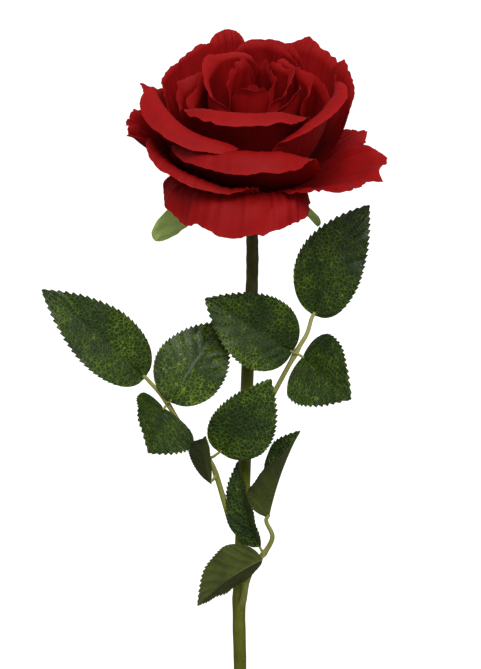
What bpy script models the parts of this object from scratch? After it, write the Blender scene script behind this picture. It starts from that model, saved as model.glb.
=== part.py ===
"""A long-stemmed red rose standing in a plain bud vase.

Frame: +Z up, origin at the centre of the vase's foot, -Y is the side that the flower faces.
All sizes are in metres. MM turns a size given in millimetres into metres, DEG a degree into radians.
"""

import math
from dataclasses import dataclass

import bmesh
import bpy
from mathutils import Matrix, Vector

MM = 0.001
DEG = math.pi / 180

# The gap that pieces which touch in the real object keep between their meshes.
CONTACT_GAP = 0.3 * MM

# ---------------------------------------------------------------- the vase
VASE_HEIGHT = 190 * MM
VASE_WALL = 3.2 * MM
VASE_FLOOR = 8 * MM
VASE_SIDES = 32
FOOT_RADIUS = 27 * MM
FOOT_BEVEL = 1.5 * MM
BELLY_RADIUS = 37 * MM
BELLY_HEIGHT = 50 * MM
NECK_RADIUS = 12.2 * MM
NECK_HEIGHT = 150 * MM
LIP_RADIUS = 16 * MM
VASE_STEPS = 13

# ---------------------------------------------------------------- the stem
STEM_FOOT_RADIUS = 2.9 * MM
STEM_TOP_RADIUS = 2.3 * MM
STEM_POINTS = 34
STEM_FOOT_Y = -1.5 * MM
# The stem above the vase, as x, y and z from the centre of the vase's lip.
STEM_ROUTE = (
    (-0.6 * MM, -7.4 * MM, 38 * MM),
    (1.3 * MM, -8.0 * MM, 83 * MM),
    (3.0 * MM, -8.2 * MM, 138 * MM),
    (4.8 * MM, -8.0 * MM, 173 * MM),
    (5.2 * MM, -7.8 * MM, 190 * MM),
)

# ---------------------------------------------------------------- the flower's seat
# Where the flower sits, from the centre of the vase's lip.
FLOWER_SEAT = (5.0 * MM, -17.5 * MM, 220.3 * MM)
FLOWER_TILT = 28 * DEG
HIP_LENGTH = 12 * MM
HIP_RADIUS = 6.2 * MM
RIM_RADIUS = 7.6 * MM
HIP_TOP = -3 * MM
DOME_RADIUS = 7.5 * MM
DOME_RISE = 7.0 * MM
HIP_SIDES = 20
SEAT_CLEARANCE = 0.55 * MM

# ---------------------------------------------------------------- petals and leaves
PETAL_THICKNESS = 0.7 * MM
PETAL_COLUMNS = 8
PETAL_ROWS = 8
CLAW_SPREAD = 0.45
WAIST_SPREAD = 0.1
SPINE_STEPS = 24
SPINE_BELLY = 0.42
ROLL_STEPS = 8
FIRST_SEAT_ANGLE = 12 * DEG
LAST_SEAT_ANGLE = 88 * DEG

SEPAL_THICKNESS = 0.7 * MM
LEAF_THICKNESS = 0.6 * MM
LEAF_CLEARANCE = 0.7 * MM
LEAF_COLUMNS = 4
LEAF_ROWS = 9

GREEN_STEM = (0.10, 0.13, 0.02, 1)
GREEN_LEAF = (0.03, 0.08, 0.015, 1)
GREEN_SEPAL = (0.30, 0.45, 0.12, 1)
RED_PETAL = (0.42, 0.012, 0.02, 1)
GLAZE_WHITE = (0.82, 0.80, 0.76, 1)


@dataclass
class Petal:
    """One petal. Angles are in degrees and lengths in millimetres, in the flower's own frame.

    left, middle and right are places on its crest, each as its turn about the flower's axis, its
    distance from that axis and its height. A turn is 0 towards the front and grows to the right.
    Beyond the crest the petal rolls outwards through roll, over the length in rolled at the same
    three places. drop is the share of its length that its outer corners lose.
    """

    name: str
    left: tuple
    middle: tuple
    right: tuple
    base_lean: float
    crest_lean: float
    roll: float = 40
    rolled: tuple = (3, 4, 3)
    drop: float = 0.2
    fine: bool = True


# From the innermost to the outermost, which is also the order of their seats on the dome.
PETALS = (
    Petal("petal_heart_front", (-85, 8.6, 48), (-5, 7.6, 50), (75, 8, 50), 12, -6, 20, fine=False),
    Petal("petal_heart_right", (40, 9.8, 49), (108, 9.1, 54), (182, 9.4, 55), 17, -6, 20, fine=False),
    Petal("petal_heart_left", (-185, 10.6, 57), (-120, 10.8, 55), (-50, 11.6, 46), 21, -6, 20, fine=False),
    Petal("petal_inner_right", (18, 13.5, 43), (88, 14.6, 51), (165, 15, 54), 28, -2, 40, fine=False),
    Petal("petal_inner_left", (-190, 18.5, 54), (-112, 17.6, 53), (-38, 15.0, 43), 33, -4, 50, fine=False),
    Petal("petal_inner_front", (-20, 17.5, 41), (44, 17.8, 46), (100, 21.5, 51), 37, -2, 30, fine=False),
    Petal("petal_cup_right", (70, 25.5, 48), (112, 24.2, 52), (160, 22.5, 54), 40, 0, 45, fine=False),
    Petal("petal_cup_left", (-150, 23.5, 52), (-104, 22.6, 45), (-62, 21.6, 41), 40, 0, 45, fine=False),
    Petal("petal_cup_back", (140, 26.5, 53), (180, 26, 56), (216, 27, 52), 42, 0, 35),
    Petal("petal_ring_left", (-154, 30, 49), (-118, 28, 44), (-78, 27.5, 40), 48, 10, 50, (8, 13, 9)),
    Petal("petal_cup_front", (-78, 33, 45), (-8, 25.4, 50.5), (62, 31, 46), 46, 2, 125, (9, 12, 8), 0.25),
    Petal("petal_ring_right", (78, 31, 46), (110, 30.5, 47), (148, 30, 50), 50, 6, 35, (4, 5, 4)),
    Petal("petal_ring_back", (138, 33, 50), (170, 32, 53), (208, 33.5, 49), 52, 4, 30, (4, 5, 4)),
    Petal("petal_ring_front_right", (9, 33, 37), (51, 33.5, 48), (98, 34.5, 51), 54, 6, 90, (2, 10, 8), 0.2),
    Petal("petal_ring_front_left", (-95, 41.5, 50), (-42, 37, 45), (-4, 32.5, 37), 55, 6, 125, (9, 14, 2), 0.2),
    Petal("petal_bowl_back_left", (177, 41.5, 46), (192, 43, 49), (207, 41, 46), 62, 12, 35, (4, 6, 5), 0.25),
    Petal("petal_bowl_back_right", (127, 40.5, 43), (149, 43.5, 47), (171, 42, 43), 61, 16, 35, (5, 6, 5), 0.2),
    Petal("petal_bowl_front", (-64, 39.8, 33), (-6, 36.6, 38.5), (50, 39, 31), 58, 14, 128, (5, 14, 3), 0.2),
    Petal("petal_bowl_left", (207, 43, 49), (230, 43, 43.5), (257, 40, 40), 70, 14, 50, (8, 9, 7), 0.2),
    Petal("petal_bowl_right", (92, 40, 33.5), (108, 42, 44), (126, 43.5, 49), 64, 14, 30, (4, 5, 5), 0.15),
    Petal("petal_low_left", (-74, 46.5, 34), (-35, 42.5, 28), (4, 40, 26), 71, 42, 84, (6, 7, 5), 0.15),
    Petal("petal_low_right", (21, 42, 24), (58, 56, 24), (86, 49, 28.5), 67, 66, 18, (4, 6, 4), 0.1),
    Petal("petal_outer_left", (-104, 47, 36), (-87, 48, 34), (-74, 46, 29), 84, 36, 40, (4, 6, 4), 0.25),
    Petal("petal_outer_back_right", (98, 45, 10), (118, 50, 10), (150, 48, 14), 92, 66, 20, (4, 5, 4), 0.25),
    Petal("petal_outer_back_left", (-146, 43, 30), (-120, 49, 34), (-102, 46, 32), 88, 36, 20, (4, 7, 4), 0.3),
    Petal("petal_outer_front", (-64, 33, 12.5), (-9, 33.5, 14.5), (27, 31, 11), 100, 46, 108, (14, 23, 13), 0.12),
)


@dataclass
class Leaflet:
    """One leaflet's blade. Points are in millimetres from the centre of the vase's lip.

    It runs from base to tip. face is the way its upper side looks at the base, and twist turns that
    by the tip. fold raises both halves from the midrib, curl bends the tip backwards, and sway bows
    the midrib sideways. A side leaflet names the stalk that its own short stalk grows from.
    """

    name: str
    base: tuple
    tip: tuple
    face: tuple
    half_width: float
    fold: float = 12
    curl: float = 15
    twist: float = 0
    sway: float = 0
    side_of: str = ""


LEAFLETS = (
    Leaflet("leaflet_left_end", (-41.4, -25.6, 139.2), (-85.3, -34, 178), (0.1, -1, 0.3), 15),
    Leaflet("leaflet_left_outer", (-33.4, -25.8, 126), (-39.3, -45, 108.9), (0.69, -0.59, 0.43), 15,
            side_of="stalk_left"),
    Leaflet("leaflet_left_inner", (-30.4, -26.2, 128.6), (-7.3, -12, 162.1), (-0.2, -1, 0.1), 16.5,
            side_of="stalk_left"),
    Leaflet("leaflet_left_low_outer", (-13.0, -19.0, 92), (-16.1, -50, 115.6), (-0.42, 0.56, 0.71),
            8.5, 32, side_of="stalk_left"),
    Leaflet("leaflet_left_low_inner", (-8.8, -20.6, 105.6), (13.1, -26, 138.5), (0, -1, 0.1),
            14.5, sway=2, side_of="stalk_left"),
    Leaflet("leaflet_right_end", (31.8, -15.0, 165.4), (55.8, -12, 213), (0.1, -1, 0.1),
            15.5, sway=-4),
    Leaflet("leaflet_right_inner", (22.6, -19.4, 149.6), (-15.3, -28, 173.6), (0.05, -1, 0.1), 17,
            side_of="stalk_right"),
    Leaflet("leaflet_right_outer", (27.0, -19.6, 147.6), (47.2, -45, 132.2), (-0.64, -0.68, 0.37), 15,
            side_of="stalk_right"),
    Leaflet("leaflet_low_end", (11.9, -24.6, 77.8), (25.6, -30, 116.4), (-0.8, 0.6, 0),
            14, 35, 10, 70),
    Leaflet("leaflet_low_back", (8.2, -16.8, 63.4), (-1.2, -13, 100.6), (-0.8, -0.7, 0), 10, 25,
            side_of="stalk_low"),
    Leaflet("leaflet_low_front", (9.4, -27.2, 59.9), (-18.5, -37, 41.2), (-0.36, 0.77, 0.53), 11.5, 30,
            side_of="stalk_low"),
)


@dataclass
class Stalk:
    """A leaf's stalk. Its root is beside the stem at root_height over the lip, on the side of turn.

    points are in millimetres from the centre of the vase's lip. It ends at the base of end_leaflet.
    """

    name: str
    root_height: float
    turn: float
    points: tuple
    end_leaflet: str
    root_radius: float
    end_radius: float


STALKS = (
    Stalk(
        "stalk_left", 72.5, -80,
        ((-7.2, -11.2, 83), (-10.4, -14, 94), (-13.4, -17, 101.4),
         (-20.8, -19.4, 109.3), (-32.0, -23, 128)),
        "leaflet_left_end", 1.4, 0.8,
    ),
    Stalk(
        "stalk_right", 105, 30,
        ((9.3, -13.6, 119.9), (15.8, -15, 133.4), (25.0, -16.4, 150.5), (28.9, -16, 157.2)),
        "leaflet_right_end", 1.3, 0.8,
    ),
    Stalk(
        "stalk_low", 38.5, 20,
        ((2.8, -15.4, 48), (6.2, -18.4, 56), (11.0, -21, 62.3), (13.9, -23, 69)),
        "leaflet_low_end", 1.6, 0.8,
    ),
)
STALK_POINTS = 18
STALK_STRAIGHT = 5 * MM
SIDE_STALK_RADIUS = 0.6 * MM


@dataclass
class Sepal:
    """One sepal: the way it points, its length and half width, and how far it bends down."""

    name: str
    turn: float
    length: float
    half_width: float
    base_lean: float
    tip_lean: float


SEPALS = (
    Sepal("sepal_left", -76, 43, 5.4, 86, 162),
    Sepal("sepal_front", -4, 19, 4.0, 94, 100),
    Sepal("sepal_right", 84, 27, 3.6, 88, 165),
    Sepal("sepal_back_right", 150, 34, 4.2, 98, 150),
    Sepal("sepal_back_left", -145, 34, 4.2, 98, 150),
)


# ---------------------------------------------------------------- general helpers
def clear_scene():
    for obj in list(bpy.data.objects):
        bpy.data.objects.remove(obj)


def material(name, colour, roughness, metallic=0.0):
    made = bpy.data.materials.new(name)
    made.use_nodes = True
    shader = made.node_tree.nodes["Principled BSDF"]
    shader.inputs["Base Color"].default_value = colour
    shader.inputs["Roughness"].default_value = roughness
    shader.inputs["Metallic"].default_value = metallic
    made.diffuse_color = colour
    return made


def add_object(name, mesh, look):
    mesh.materials.append(look)
    obj = bpy.data.objects.new(name, mesh)
    bpy.context.scene.collection.objects.link(obj)
    return obj


def smoothstep(low, high, value):
    share = min(1.0, max(0.0, (value - low) / (high - low)))
    return share * share * (3 - 2 * share)


def catmull_rom(points, count):
    """count points, evenly spaced in parameter, on a smooth curve through the given points."""
    ends = [2 * points[0] - points[1], *points, 2 * points[-1] - points[-2]]
    spans = len(points) - 1
    found = []
    for i in range(count):
        place = spans * i / (count - 1)
        k = min(int(place), spans - 1)
        t = place - k
        a, b, c, d = ends[k : k + 4]
        found.append(
            0.5 * (2 * b + (c - a) * t + (2 * a - 5 * b + 4 * c - d) * t * t
                   + (3 * b - 3 * c + d - a) * t ** 3)
        )
    return found


def shell(name, rows, thickness, look):
    """A closed sheet of even thickness about a grid of points, rows of equal length."""
    height, width = len(rows), len(rows[0])

    def normal(i, j):
        along = rows[min(i + 1, height - 1)][j] - rows[max(i - 1, 0)][j]
        across = rows[i][min(j + 1, width - 1)] - rows[i][max(j - 1, 0)]
        return across.cross(along).normalized()

    made = bmesh.new()
    sides = []
    for side in (0.5, -0.5):
        sides.append([
            [made.verts.new(rows[i][j] + normal(i, j) * thickness * side) for j in range(width)]
            for i in range(height)
        ])
    top, bottom = sides
    for i in range(height - 1):
        for j in range(width - 1):
            made.faces.new((top[i][j], top[i][j + 1], top[i + 1][j + 1], top[i + 1][j]))
            made.faces.new((bottom[i][j], bottom[i + 1][j], bottom[i + 1][j + 1], bottom[i][j + 1]))
    outline = (
        [(0, j) for j in range(width)]
        + [(i, width - 1) for i in range(1, height)]
        + [(height - 1, j) for j in range(width - 2, -1, -1)]
        + [(i, 0) for i in range(height - 2, 0, -1)]
    )
    for (i, j), (k, m) in zip(outline, outline[1:] + outline[:1]):
        made.faces.new((top[i][j], bottom[i][j], bottom[k][m], top[k][m]))
    mesh = bpy.data.meshes.new(name)
    made.to_mesh(mesh)
    made.free()
    mesh.shade_smooth()
    mesh.set_sharp_from_angle(angle=50 * DEG)
    return add_object(name, mesh, look)


def turned(name, profile, sides, look):
    """A solid of revolution about Z. The profile runs from the axis to the axis, outside first."""
    made = bmesh.new()
    rings = []
    for radius, height in profile:
        if radius < 1e-7:
            rings.append([made.verts.new((0, 0, height))])
            continue
        angles = [2 * math.pi * k / sides for k in range(sides)]
        rings.append([
            made.verts.new((radius * math.cos(a), radius * math.sin(a), height)) for a in angles
        ])
    for below, above in zip(rings, rings[1:]):
        for k in range(sides):
            m = (k + 1) % sides
            corners = []
            for ring, index in ((below, k), (below, m), (above, m), (above, k)):
                vertex = ring[index % len(ring)]
                if vertex not in corners:
                    corners.append(vertex)
            made.faces.new(corners)
    mesh = bpy.data.meshes.new(name)
    made.to_mesh(mesh)
    made.free()
    mesh.shade_smooth()
    mesh.set_sharp_from_angle(angle=40 * DEG)
    return add_object(name, mesh, look)


def tube(name, points, radii, look, detail=2):
    """A round stalk through the points, with a radius at each and filled ends."""
    data = bpy.data.curves.new(name, "CURVE")
    data.dimensions = "3D"
    data.bevel_depth = 1.0
    data.bevel_resolution = detail
    data.use_fill_caps = True
    data.twist_mode = "MINIMUM"
    spline = data.splines.new("POLY")
    spline.points.add(len(points) - 1)
    for spot, place, radius in zip(spline.points, points, radii):
        spot.co = (*place, 1)
        spot.radius = radius
    data.materials.append(look)
    obj = bpy.data.objects.new(name, data)
    bpy.context.scene.collection.objects.link(obj)
    return obj


# ---------------------------------------------------------------- the vase
def vase_radius(height):
    """The vase's outer radius at a height, as a smooth curve through foot, belly, neck and lip."""
    if height < BELLY_HEIGHT:
        share = height / BELLY_HEIGHT
        return FOOT_RADIUS + (BELLY_RADIUS - FOOT_RADIUS) * math.sin(share * math.pi / 2)
    if height < NECK_HEIGHT:
        share = (height - BELLY_HEIGHT) / (NECK_HEIGHT - BELLY_HEIGHT)
        return NECK_RADIUS + (BELLY_RADIUS - NECK_RADIUS) * (0.5 + 0.5 * math.cos(math.pi * share))
    share = (height - NECK_HEIGHT) / (VASE_HEIGHT - NECK_HEIGHT)
    return NECK_RADIUS + (LIP_RADIUS - NECK_RADIUS) * share * share


def build_vase(look):
    top = VASE_HEIGHT - VASE_WALL / 2
    outer = [
        (vase_radius(FOOT_BEVEL + (top - FOOT_BEVEL) * k / VASE_STEPS),
         FOOT_BEVEL + (top - FOOT_BEVEL) * k / VASE_STEPS)
        for k in range(VASE_STEPS + 1)
    ]
    inner = [
        (vase_radius(top - (top - VASE_FLOOR) * k / VASE_STEPS) - VASE_WALL,
         top - (top - VASE_FLOOR) * k / VASE_STEPS)
        for k in range(VASE_STEPS + 1)
    ]
    lip = [(vase_radius(top) - VASE_WALL / 2, VASE_HEIGHT)]
    foot = [(0, 0), (FOOT_RADIUS - FOOT_BEVEL, 0)]
    turned("vase", foot + outer + lip + inner + [(0, VASE_FLOOR)], VASE_SIDES, look)


# ---------------------------------------------------------------- stem and stalks
def above_lip(point):
    """A place given in millimetres from the centre of the vase's lip."""
    return Vector((point[0], point[1], point[2])) * MM + Vector((0, 0, VASE_HEIGHT))


def stem_line():
    """The stem's centre line and its radius at each point.

    It stands on the vase's floor, leans on the narrowest part of the neck and ends under the hip.
    """
    reach = NECK_RADIUS - VASE_WALL - STEM_FOOT_RADIUS - CONTACT_GAP
    foot = Vector((0, STEM_FOOT_Y, VASE_FLOOR + CONTACT_GAP))
    throat = Vector((0, -reach, NECK_HEIGHT))
    over_lip = Vector((-0.2 * MM, -reach - 1.2 * MM, VASE_HEIGHT + 7 * MM))
    bends = [Vector(place) + Vector((0, 0, VASE_HEIGHT)) for place in STEM_ROUTE]
    hip_foot = HIP_TOP - HIP_LENGTH - 2 * CONTACT_GAP
    ends = [flower_frame() @ Vector((0, 0, hip_foot - back)) for back in (5 * MM, 0)]
    points = catmull_rom([foot, foot.lerp(throat, 0.5), throat, over_lip, *bends, *ends], STEM_POINTS)
    last = STEM_POINTS - 1
    radii = [STEM_FOOT_RADIUS + (STEM_TOP_RADIUS - STEM_FOOT_RADIUS) * k / last for k in range(last + 1)]
    return points, radii


def beside_stem(height, turn, radius):
    """A place for the root of a stalk of this radius, just clear of the stem, at a height over the lip."""
    points, radii = stem_line()
    nearest = min(range(len(points)), key=lambda k: abs(points[k].z - VASE_HEIGHT - height))
    k = nearest - (points[nearest].z > VASE_HEIGHT + height)
    share = (VASE_HEIGHT + height - points[k].z) / (points[k + 1].z - points[k].z)
    reach = (radii[k] + radius) * 1.03 + CONTACT_GAP
    return points[k].lerp(points[k + 1], share) + facing(turn) * reach


def build_stem(look):
    tube("stem", *stem_line(), look)


def leaflet_foot(leaf):
    """Where the stalk that carries a leaflet ends, just short of its base, and the way the blade runs."""
    base = above_lip(leaf.base)
    ahead = (above_lip(leaf.tip) - base).normalized()
    return base - ahead * LEAF_CLEARANCE, ahead


def stalk_line(stalk):
    """The stalk's centre line and its radius at each point."""
    root_radius = stalk.root_radius * MM
    root = beside_stem(stalk.root_height * MM, stalk.turn * DEG, root_radius)
    carried = next(leaf for leaf in LEAFLETS if leaf.name == stalk.end_leaflet)
    end, ahead = leaflet_foot(carried)
    way = [root, *[above_lip(p) for p in stalk.points], end - ahead * STALK_STRAIGHT, end]
    last = STALK_POINTS - 1
    radii = [root_radius + (stalk.end_radius * MM - root_radius) * k / last for k in range(last + 1)]
    return catmull_rom(way, STALK_POINTS), radii


def build_stalks(look):
    """The three leaves' stalks, and the short stalk of each side leaflet."""
    for stalk in STALKS:
        points, radii = stalk_line(stalk)
        tube(stalk.name, points, radii, look, detail=1)
        for leaf in LEAFLETS:
            if leaf.side_of != stalk.name:
                continue
            end, ahead = leaflet_foot(leaf)
            nearest = min(range(1, STALK_POINTS - 1), key=lambda k: (points[k] - end).length)
            along_stalk = (points[nearest + 1] - points[nearest - 1]).normalized()
            away = end - points[nearest]
            away = (away - away.dot(along_stalk) * along_stalk).normalized()
            start = points[nearest] + away * (radii[nearest] * 1.15 + CONTACT_GAP)
            bend = ((start + away * SIDE_STALK_RADIUS) + (end - ahead * SIDE_STALK_RADIUS)) / 2
            radii_here = [SIDE_STALK_RADIUS] * 5
            name = leaf.name.replace("leaflet", "side_stalk")
            tube(name, catmull_rom([start, bend, end], 5), radii_here, look, detail=1)


# ---------------------------------------------------------------- the flower
def flower_frame():
    """The flower's own frame: X to the right, -Y to its front, Z along its axis."""
    seat = Vector(FLOWER_SEAT) + Vector((0, 0, VASE_HEIGHT))
    return Matrix.Translation(seat) @ Matrix.Rotation(FLOWER_TILT, 4, "X")


def facing(turn):
    """The way a turn points, across the flower's axis: 0 to the front, 90 degrees to the right."""
    return Vector((math.sin(turn), -math.cos(turn), 0))


def build_receptacle(look):
    """The hip under the petals and the dome that they sit on."""
    dome_steps = 6
    dome = [
        (DOME_RADIUS * math.cos(k * math.pi / 2 / dome_steps),
         HIP_TOP + DOME_RISE * math.sin(k * math.pi / 2 / dome_steps))
        for k in range(dome_steps + 1)
    ]
    dome[-1] = (0, HIP_TOP + DOME_RISE)
    hip = [
        (0, HIP_TOP - HIP_LENGTH),
        (STEM_TOP_RADIUS, HIP_TOP - HIP_LENGTH),
        (HIP_RADIUS * 0.86, HIP_TOP - 0.6 * HIP_LENGTH),
        (HIP_RADIUS, HIP_TOP - 0.35 * HIP_LENGTH),
        (HIP_RADIUS * 0.92, HIP_TOP - 2.2 * MM),
        (RIM_RADIUS, HIP_TOP - 0.8 * MM),
    ]
    made = turned("receptacle", hip + dome, HIP_SIDES, look)
    made.matrix_world = flower_frame()


def through(at, left, middle, right):
    """The value at a place from -1 to 1 of the smooth curve through left, middle and right."""
    return middle + at * (right - left) / 2 + at * at * (left + right - 2 * middle) / 2


def petal_spine(petal, seat_angle, across):
    """Points as (radius, height) from the petal's seat to its rim, at a place across it."""
    seat_radius = (DOME_RADIUS + SEAT_CLEARANCE + PETAL_THICKNESS / 2) * math.sin(seat_angle)
    seat_height = HIP_TOP + (DOME_RISE + SEAT_CLEARANCE + PETAL_THICKNESS / 2) * math.cos(seat_angle)
    start = Vector((seat_radius, seat_height))
    crest = Vector([
        through(across, petal.left[k], petal.middle[k], petal.right[k]) * MM for k in (1, 2)
    ])
    chord = (crest - start).length * SPINE_BELLY
    base_lean, crest_lean = petal.base_lean * DEG, petal.crest_lean * DEG
    out = start + chord * Vector((math.sin(base_lean), math.cos(base_lean)))
    back = crest - chord * Vector((math.sin(crest_lean), math.cos(crest_lean)))
    fine = [
        start * (1 - t) ** 3 + out * 3 * t * (1 - t) ** 2 + back * 3 * t * t * (1 - t) + crest * t ** 3
        for t in (k / SPINE_STEPS for k in range(SPINE_STEPS + 1))
    ]
    step = through(across, *petal.rolled) * MM / ROLL_STEPS
    for k in range(ROLL_STEPS):
        lean = crest_lean + petal.roll * DEG * (1 - (1 - (k + 0.5) / ROLL_STEPS) ** 2)
        fine.append(fine[-1] + step * Vector((math.sin(lean), math.cos(lean))))
    return fine


def along(fine, share):
    """The point at a share of the length of a line of points."""
    lengths = [0.0]
    for a, b in zip(fine, fine[1:]):
        lengths.append(lengths[-1] + (b - a).length)
    distance = share * lengths[-1]
    k = 1
    while k < len(lengths) - 1 and lengths[k] < distance:
        k += 1
    return fine[k - 1].lerp(fine[k], (distance - lengths[k - 1]) / (lengths[k] - lengths[k - 1]))


def petal_rows(petal, seat_angle, columns, rows):
    """The grid of points on the petal's middle surface, in the flower's frame."""
    columns_of_points = []
    for j in range(columns + 1):
        u = math.sin((2 * j / columns - 1) * math.pi / 2)
        fine = petal_spine(petal, seat_angle, u)
        turn = through(u, petal.left[0], petal.middle[0], petal.right[0])
        reach = 1 - petal.drop * abs(u) ** 3
        column = []
        for i in range(rows + 1):
            v = 1 - (1 - i / rows) ** 1.25
            point = along(fine, v * reach)
            spread = CLAW_SPREAD + (1 + WAIST_SPREAD - CLAW_SPREAD) * smoothstep(0, 0.55, v)
            spread -= WAIST_SPREAD * smoothstep(0.6, 1, v)
            way = facing((petal.middle[0] + (turn - petal.middle[0]) * spread) * DEG)
            column.append(way * point.x + Vector((0, 0, point.y)))
        columns_of_points.append(column)
    return [list(row) for row in zip(*columns_of_points)]


def build_petals(look):
    frame = flower_frame()
    for order, petal in enumerate(PETALS):
        share = order / (len(PETALS) - 1)
        seat_angle = FIRST_SEAT_ANGLE + (LAST_SEAT_ANGLE - FIRST_SEAT_ANGLE) * share
        size = (PETAL_COLUMNS, PETAL_ROWS) if petal.fine else (PETAL_COLUMNS - 2, PETAL_ROWS - 2)
        shell(petal.name, petal_rows(petal, seat_angle, *size), PETAL_THICKNESS, look).matrix_world = frame


def build_bud(look):
    """The tightly rolled heart of the flower."""
    foot = HIP_TOP + DOME_RISE + CONTACT_GAP
    profile = ((0, foot), (1.0, foot), (2.2, 12 * MM), (4.0, 30 * MM), (4.6, 42 * MM),
               (3.4, 50 * MM), (1.4, 53.5 * MM), (0, 54 * MM))
    scaled = [(radius * MM if radius else 0, height) for radius, height in profile]
    turned("bud_heart", scaled, 14, look).matrix_world = flower_frame()


def build_sepals(look):
    frame = flower_frame()
    steps = 7
    for sepal in SEPALS:
        ahead, right = facing(sepal.turn * DEG), facing(sepal.turn * DEG + math.pi / 2)
        place = ahead * (RIM_RADIUS + CONTACT_GAP + SEPAL_THICKNESS / 2) + Vector((0, 0, HIP_TOP - 1.4 * MM))
        rows = []
        for i in range(steps + 1):
            v = i / steps
            lean = (sepal.base_lean + (sepal.tip_lean - sepal.base_lean) * v) * DEG
            half = sepal.half_width * MM * (0.6 + 0.4 * math.sin(math.pi * v ** 1.3))
            half *= 1 - 0.75 * smoothstep(0.8, 1, v) ** 2
            rows.append([place + right * half * u for u in (-1, -0.33, 0.33, 1)])
            step = sepal.length * MM / steps
            place = place + step * (math.sin(lean) * ahead + Vector((0, 0, math.cos(lean))))
        shell(sepal.name, rows, SEPAL_THICKNESS, look).matrix_world = frame


# ---------------------------------------------------------------- leaves
def blade_half_width(t):
    """A leaflet's half width at a share of its length, as a share of its greatest."""
    return 0.06 + 0.94 * math.sin(math.pi * t ** 0.64) ** 0.8


def leaflet_rows(leaf, columns, rows):
    """The grid of points on a leaflet's middle surface."""
    base, tip = above_lip(leaf.base), above_lip(leaf.tip)
    chord = tip - base
    ahead = chord.normalized()
    face = Vector(leaf.face)
    face = (face - face.dot(ahead) * ahead).normalized()
    curl = leaf.curl * DEG
    grid = []
    for i in range(rows + 1):
        t = i / rows
        bow = chord.length * math.tan(curl / 2) * 2 * t * (1 - t)
        turned_face = Matrix.Rotation(leaf.twist * DEG * t, 3, ahead) @ face
        across = ahead.cross(turned_face)
        half = leaf.half_width * MM * blade_half_width(min(t, 0.995))
        spine = base + chord * t + face * bow + across * leaf.sway * MM * 4 * t * (1 - t)
        row = []
        for j in range(columns + 1):
            u = 2 * j / columns - 1
            fold = leaf.fold * DEG
            row.append(
                spine + across * half * u * math.cos(fold) + turned_face * half * abs(u) * math.sin(fold)
            )
        grid.append(row)
    return grid


def build_leaflets(look):
    for leaf in LEAFLETS:
        shell(leaf.name, leaflet_rows(leaf, LEAF_COLUMNS, LEAF_ROWS), LEAF_THICKNESS, look)


def main():
    clear_scene()
    red = material("petal_red", RED_PETAL, 0.6)
    green = material("stem_green", GREEN_STEM, 0.5)
    build_vase(material("glaze", GLAZE_WHITE, 0.2))
    build_stem(green)
    build_stalks(green)
    build_receptacle(green)
    build_bud(red)
    build_petals(red)
    build_sepals(material("sepal_green", GREEN_SEPAL, 0.7))
    build_leaflets(material("leaf_green", GREEN_LEAF, 0.45))


main()
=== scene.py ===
"""The looks of a long-stemmed red rose that stands in a bud vase.

Frame: metres, +Z up, origin at the centre of the vase's foot; the bloom faces -Y. The vase's height is
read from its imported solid's box. Stem, leaves and bloom are laid out from the centre of the vase's lip,
and how far each piece's box lies from the box of the solids that it stands for is reported.
"""

import logging
import math
import zlib
from dataclasses import dataclass, field
from enum import Enum
from typing import Dict, List, Optional, Sequence, Tuple, Union

import bpy
import numpy as np
from mathutils import Matrix, Vector


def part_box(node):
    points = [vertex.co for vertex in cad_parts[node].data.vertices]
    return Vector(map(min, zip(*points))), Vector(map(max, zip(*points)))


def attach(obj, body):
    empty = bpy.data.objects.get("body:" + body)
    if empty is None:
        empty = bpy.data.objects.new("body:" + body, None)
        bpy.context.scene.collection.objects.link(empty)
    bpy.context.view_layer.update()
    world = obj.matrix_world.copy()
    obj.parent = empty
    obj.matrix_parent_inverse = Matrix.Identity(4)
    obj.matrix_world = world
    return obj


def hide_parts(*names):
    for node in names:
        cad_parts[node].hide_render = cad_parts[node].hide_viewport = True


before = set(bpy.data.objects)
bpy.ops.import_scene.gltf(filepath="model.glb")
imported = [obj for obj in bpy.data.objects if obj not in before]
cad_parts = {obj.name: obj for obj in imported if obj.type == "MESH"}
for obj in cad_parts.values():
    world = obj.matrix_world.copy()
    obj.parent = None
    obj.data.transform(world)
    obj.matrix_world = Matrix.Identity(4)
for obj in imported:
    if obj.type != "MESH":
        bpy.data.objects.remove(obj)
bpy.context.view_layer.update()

LOG = logging.getLogger("rose")
MM = 0.001
DEG = math.pi / 180

# The leaves' veins, which their shape and their colour both follow: the pairs along a blade, how far
# a vein sweeps forward to the edge and how much it eases there, as shares of the blade's length, how
# far each side's veins are shifted, as a share of their spacing, and the net's cells in a millimetre.
VEIN_PAIRS = 7.0
VEIN_SWEEP = 0.40
VEIN_EASE = 0.12
VEIN_STAGGER = 0.22
VEIN_NET = 0.56

Array = np.ndarray
Socket = bpy.types.NodeSocket
Colour = Tuple[float, float, float]
Spot = Tuple[float, float, float]
Feed = Union[float, int, bool, tuple, Socket]


def rgb(red: int, green: int, blue: int) -> Colour:
    """Turns a colour given on the screen's 0 to 255 scale into linear light."""
    return tuple(
        (c / 255 / 12.92) if c < 11 else ((c / 255 + 0.055) / 1.055) ** 2.4 for c in (red, green, blue)
    )


def seed_of(name: str) -> int:
    """Gives a name a number of its own that never changes."""
    return zlib.crc32(name.encode()) & 0xFFFF


def smoothstep(low: float, high: float, value: Array) -> Array:
    """Rises smoothly from 0 at low to 1 at high.

    Args:
        low: where the rise starts.
        high: where it ends.
        value: the places to read.

    Returns:
        The height of the rise at each place.
    """
    share = np.clip((value - low) / (high - low), 0, 1)
    return share * share * (3 - 2 * share)


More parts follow.
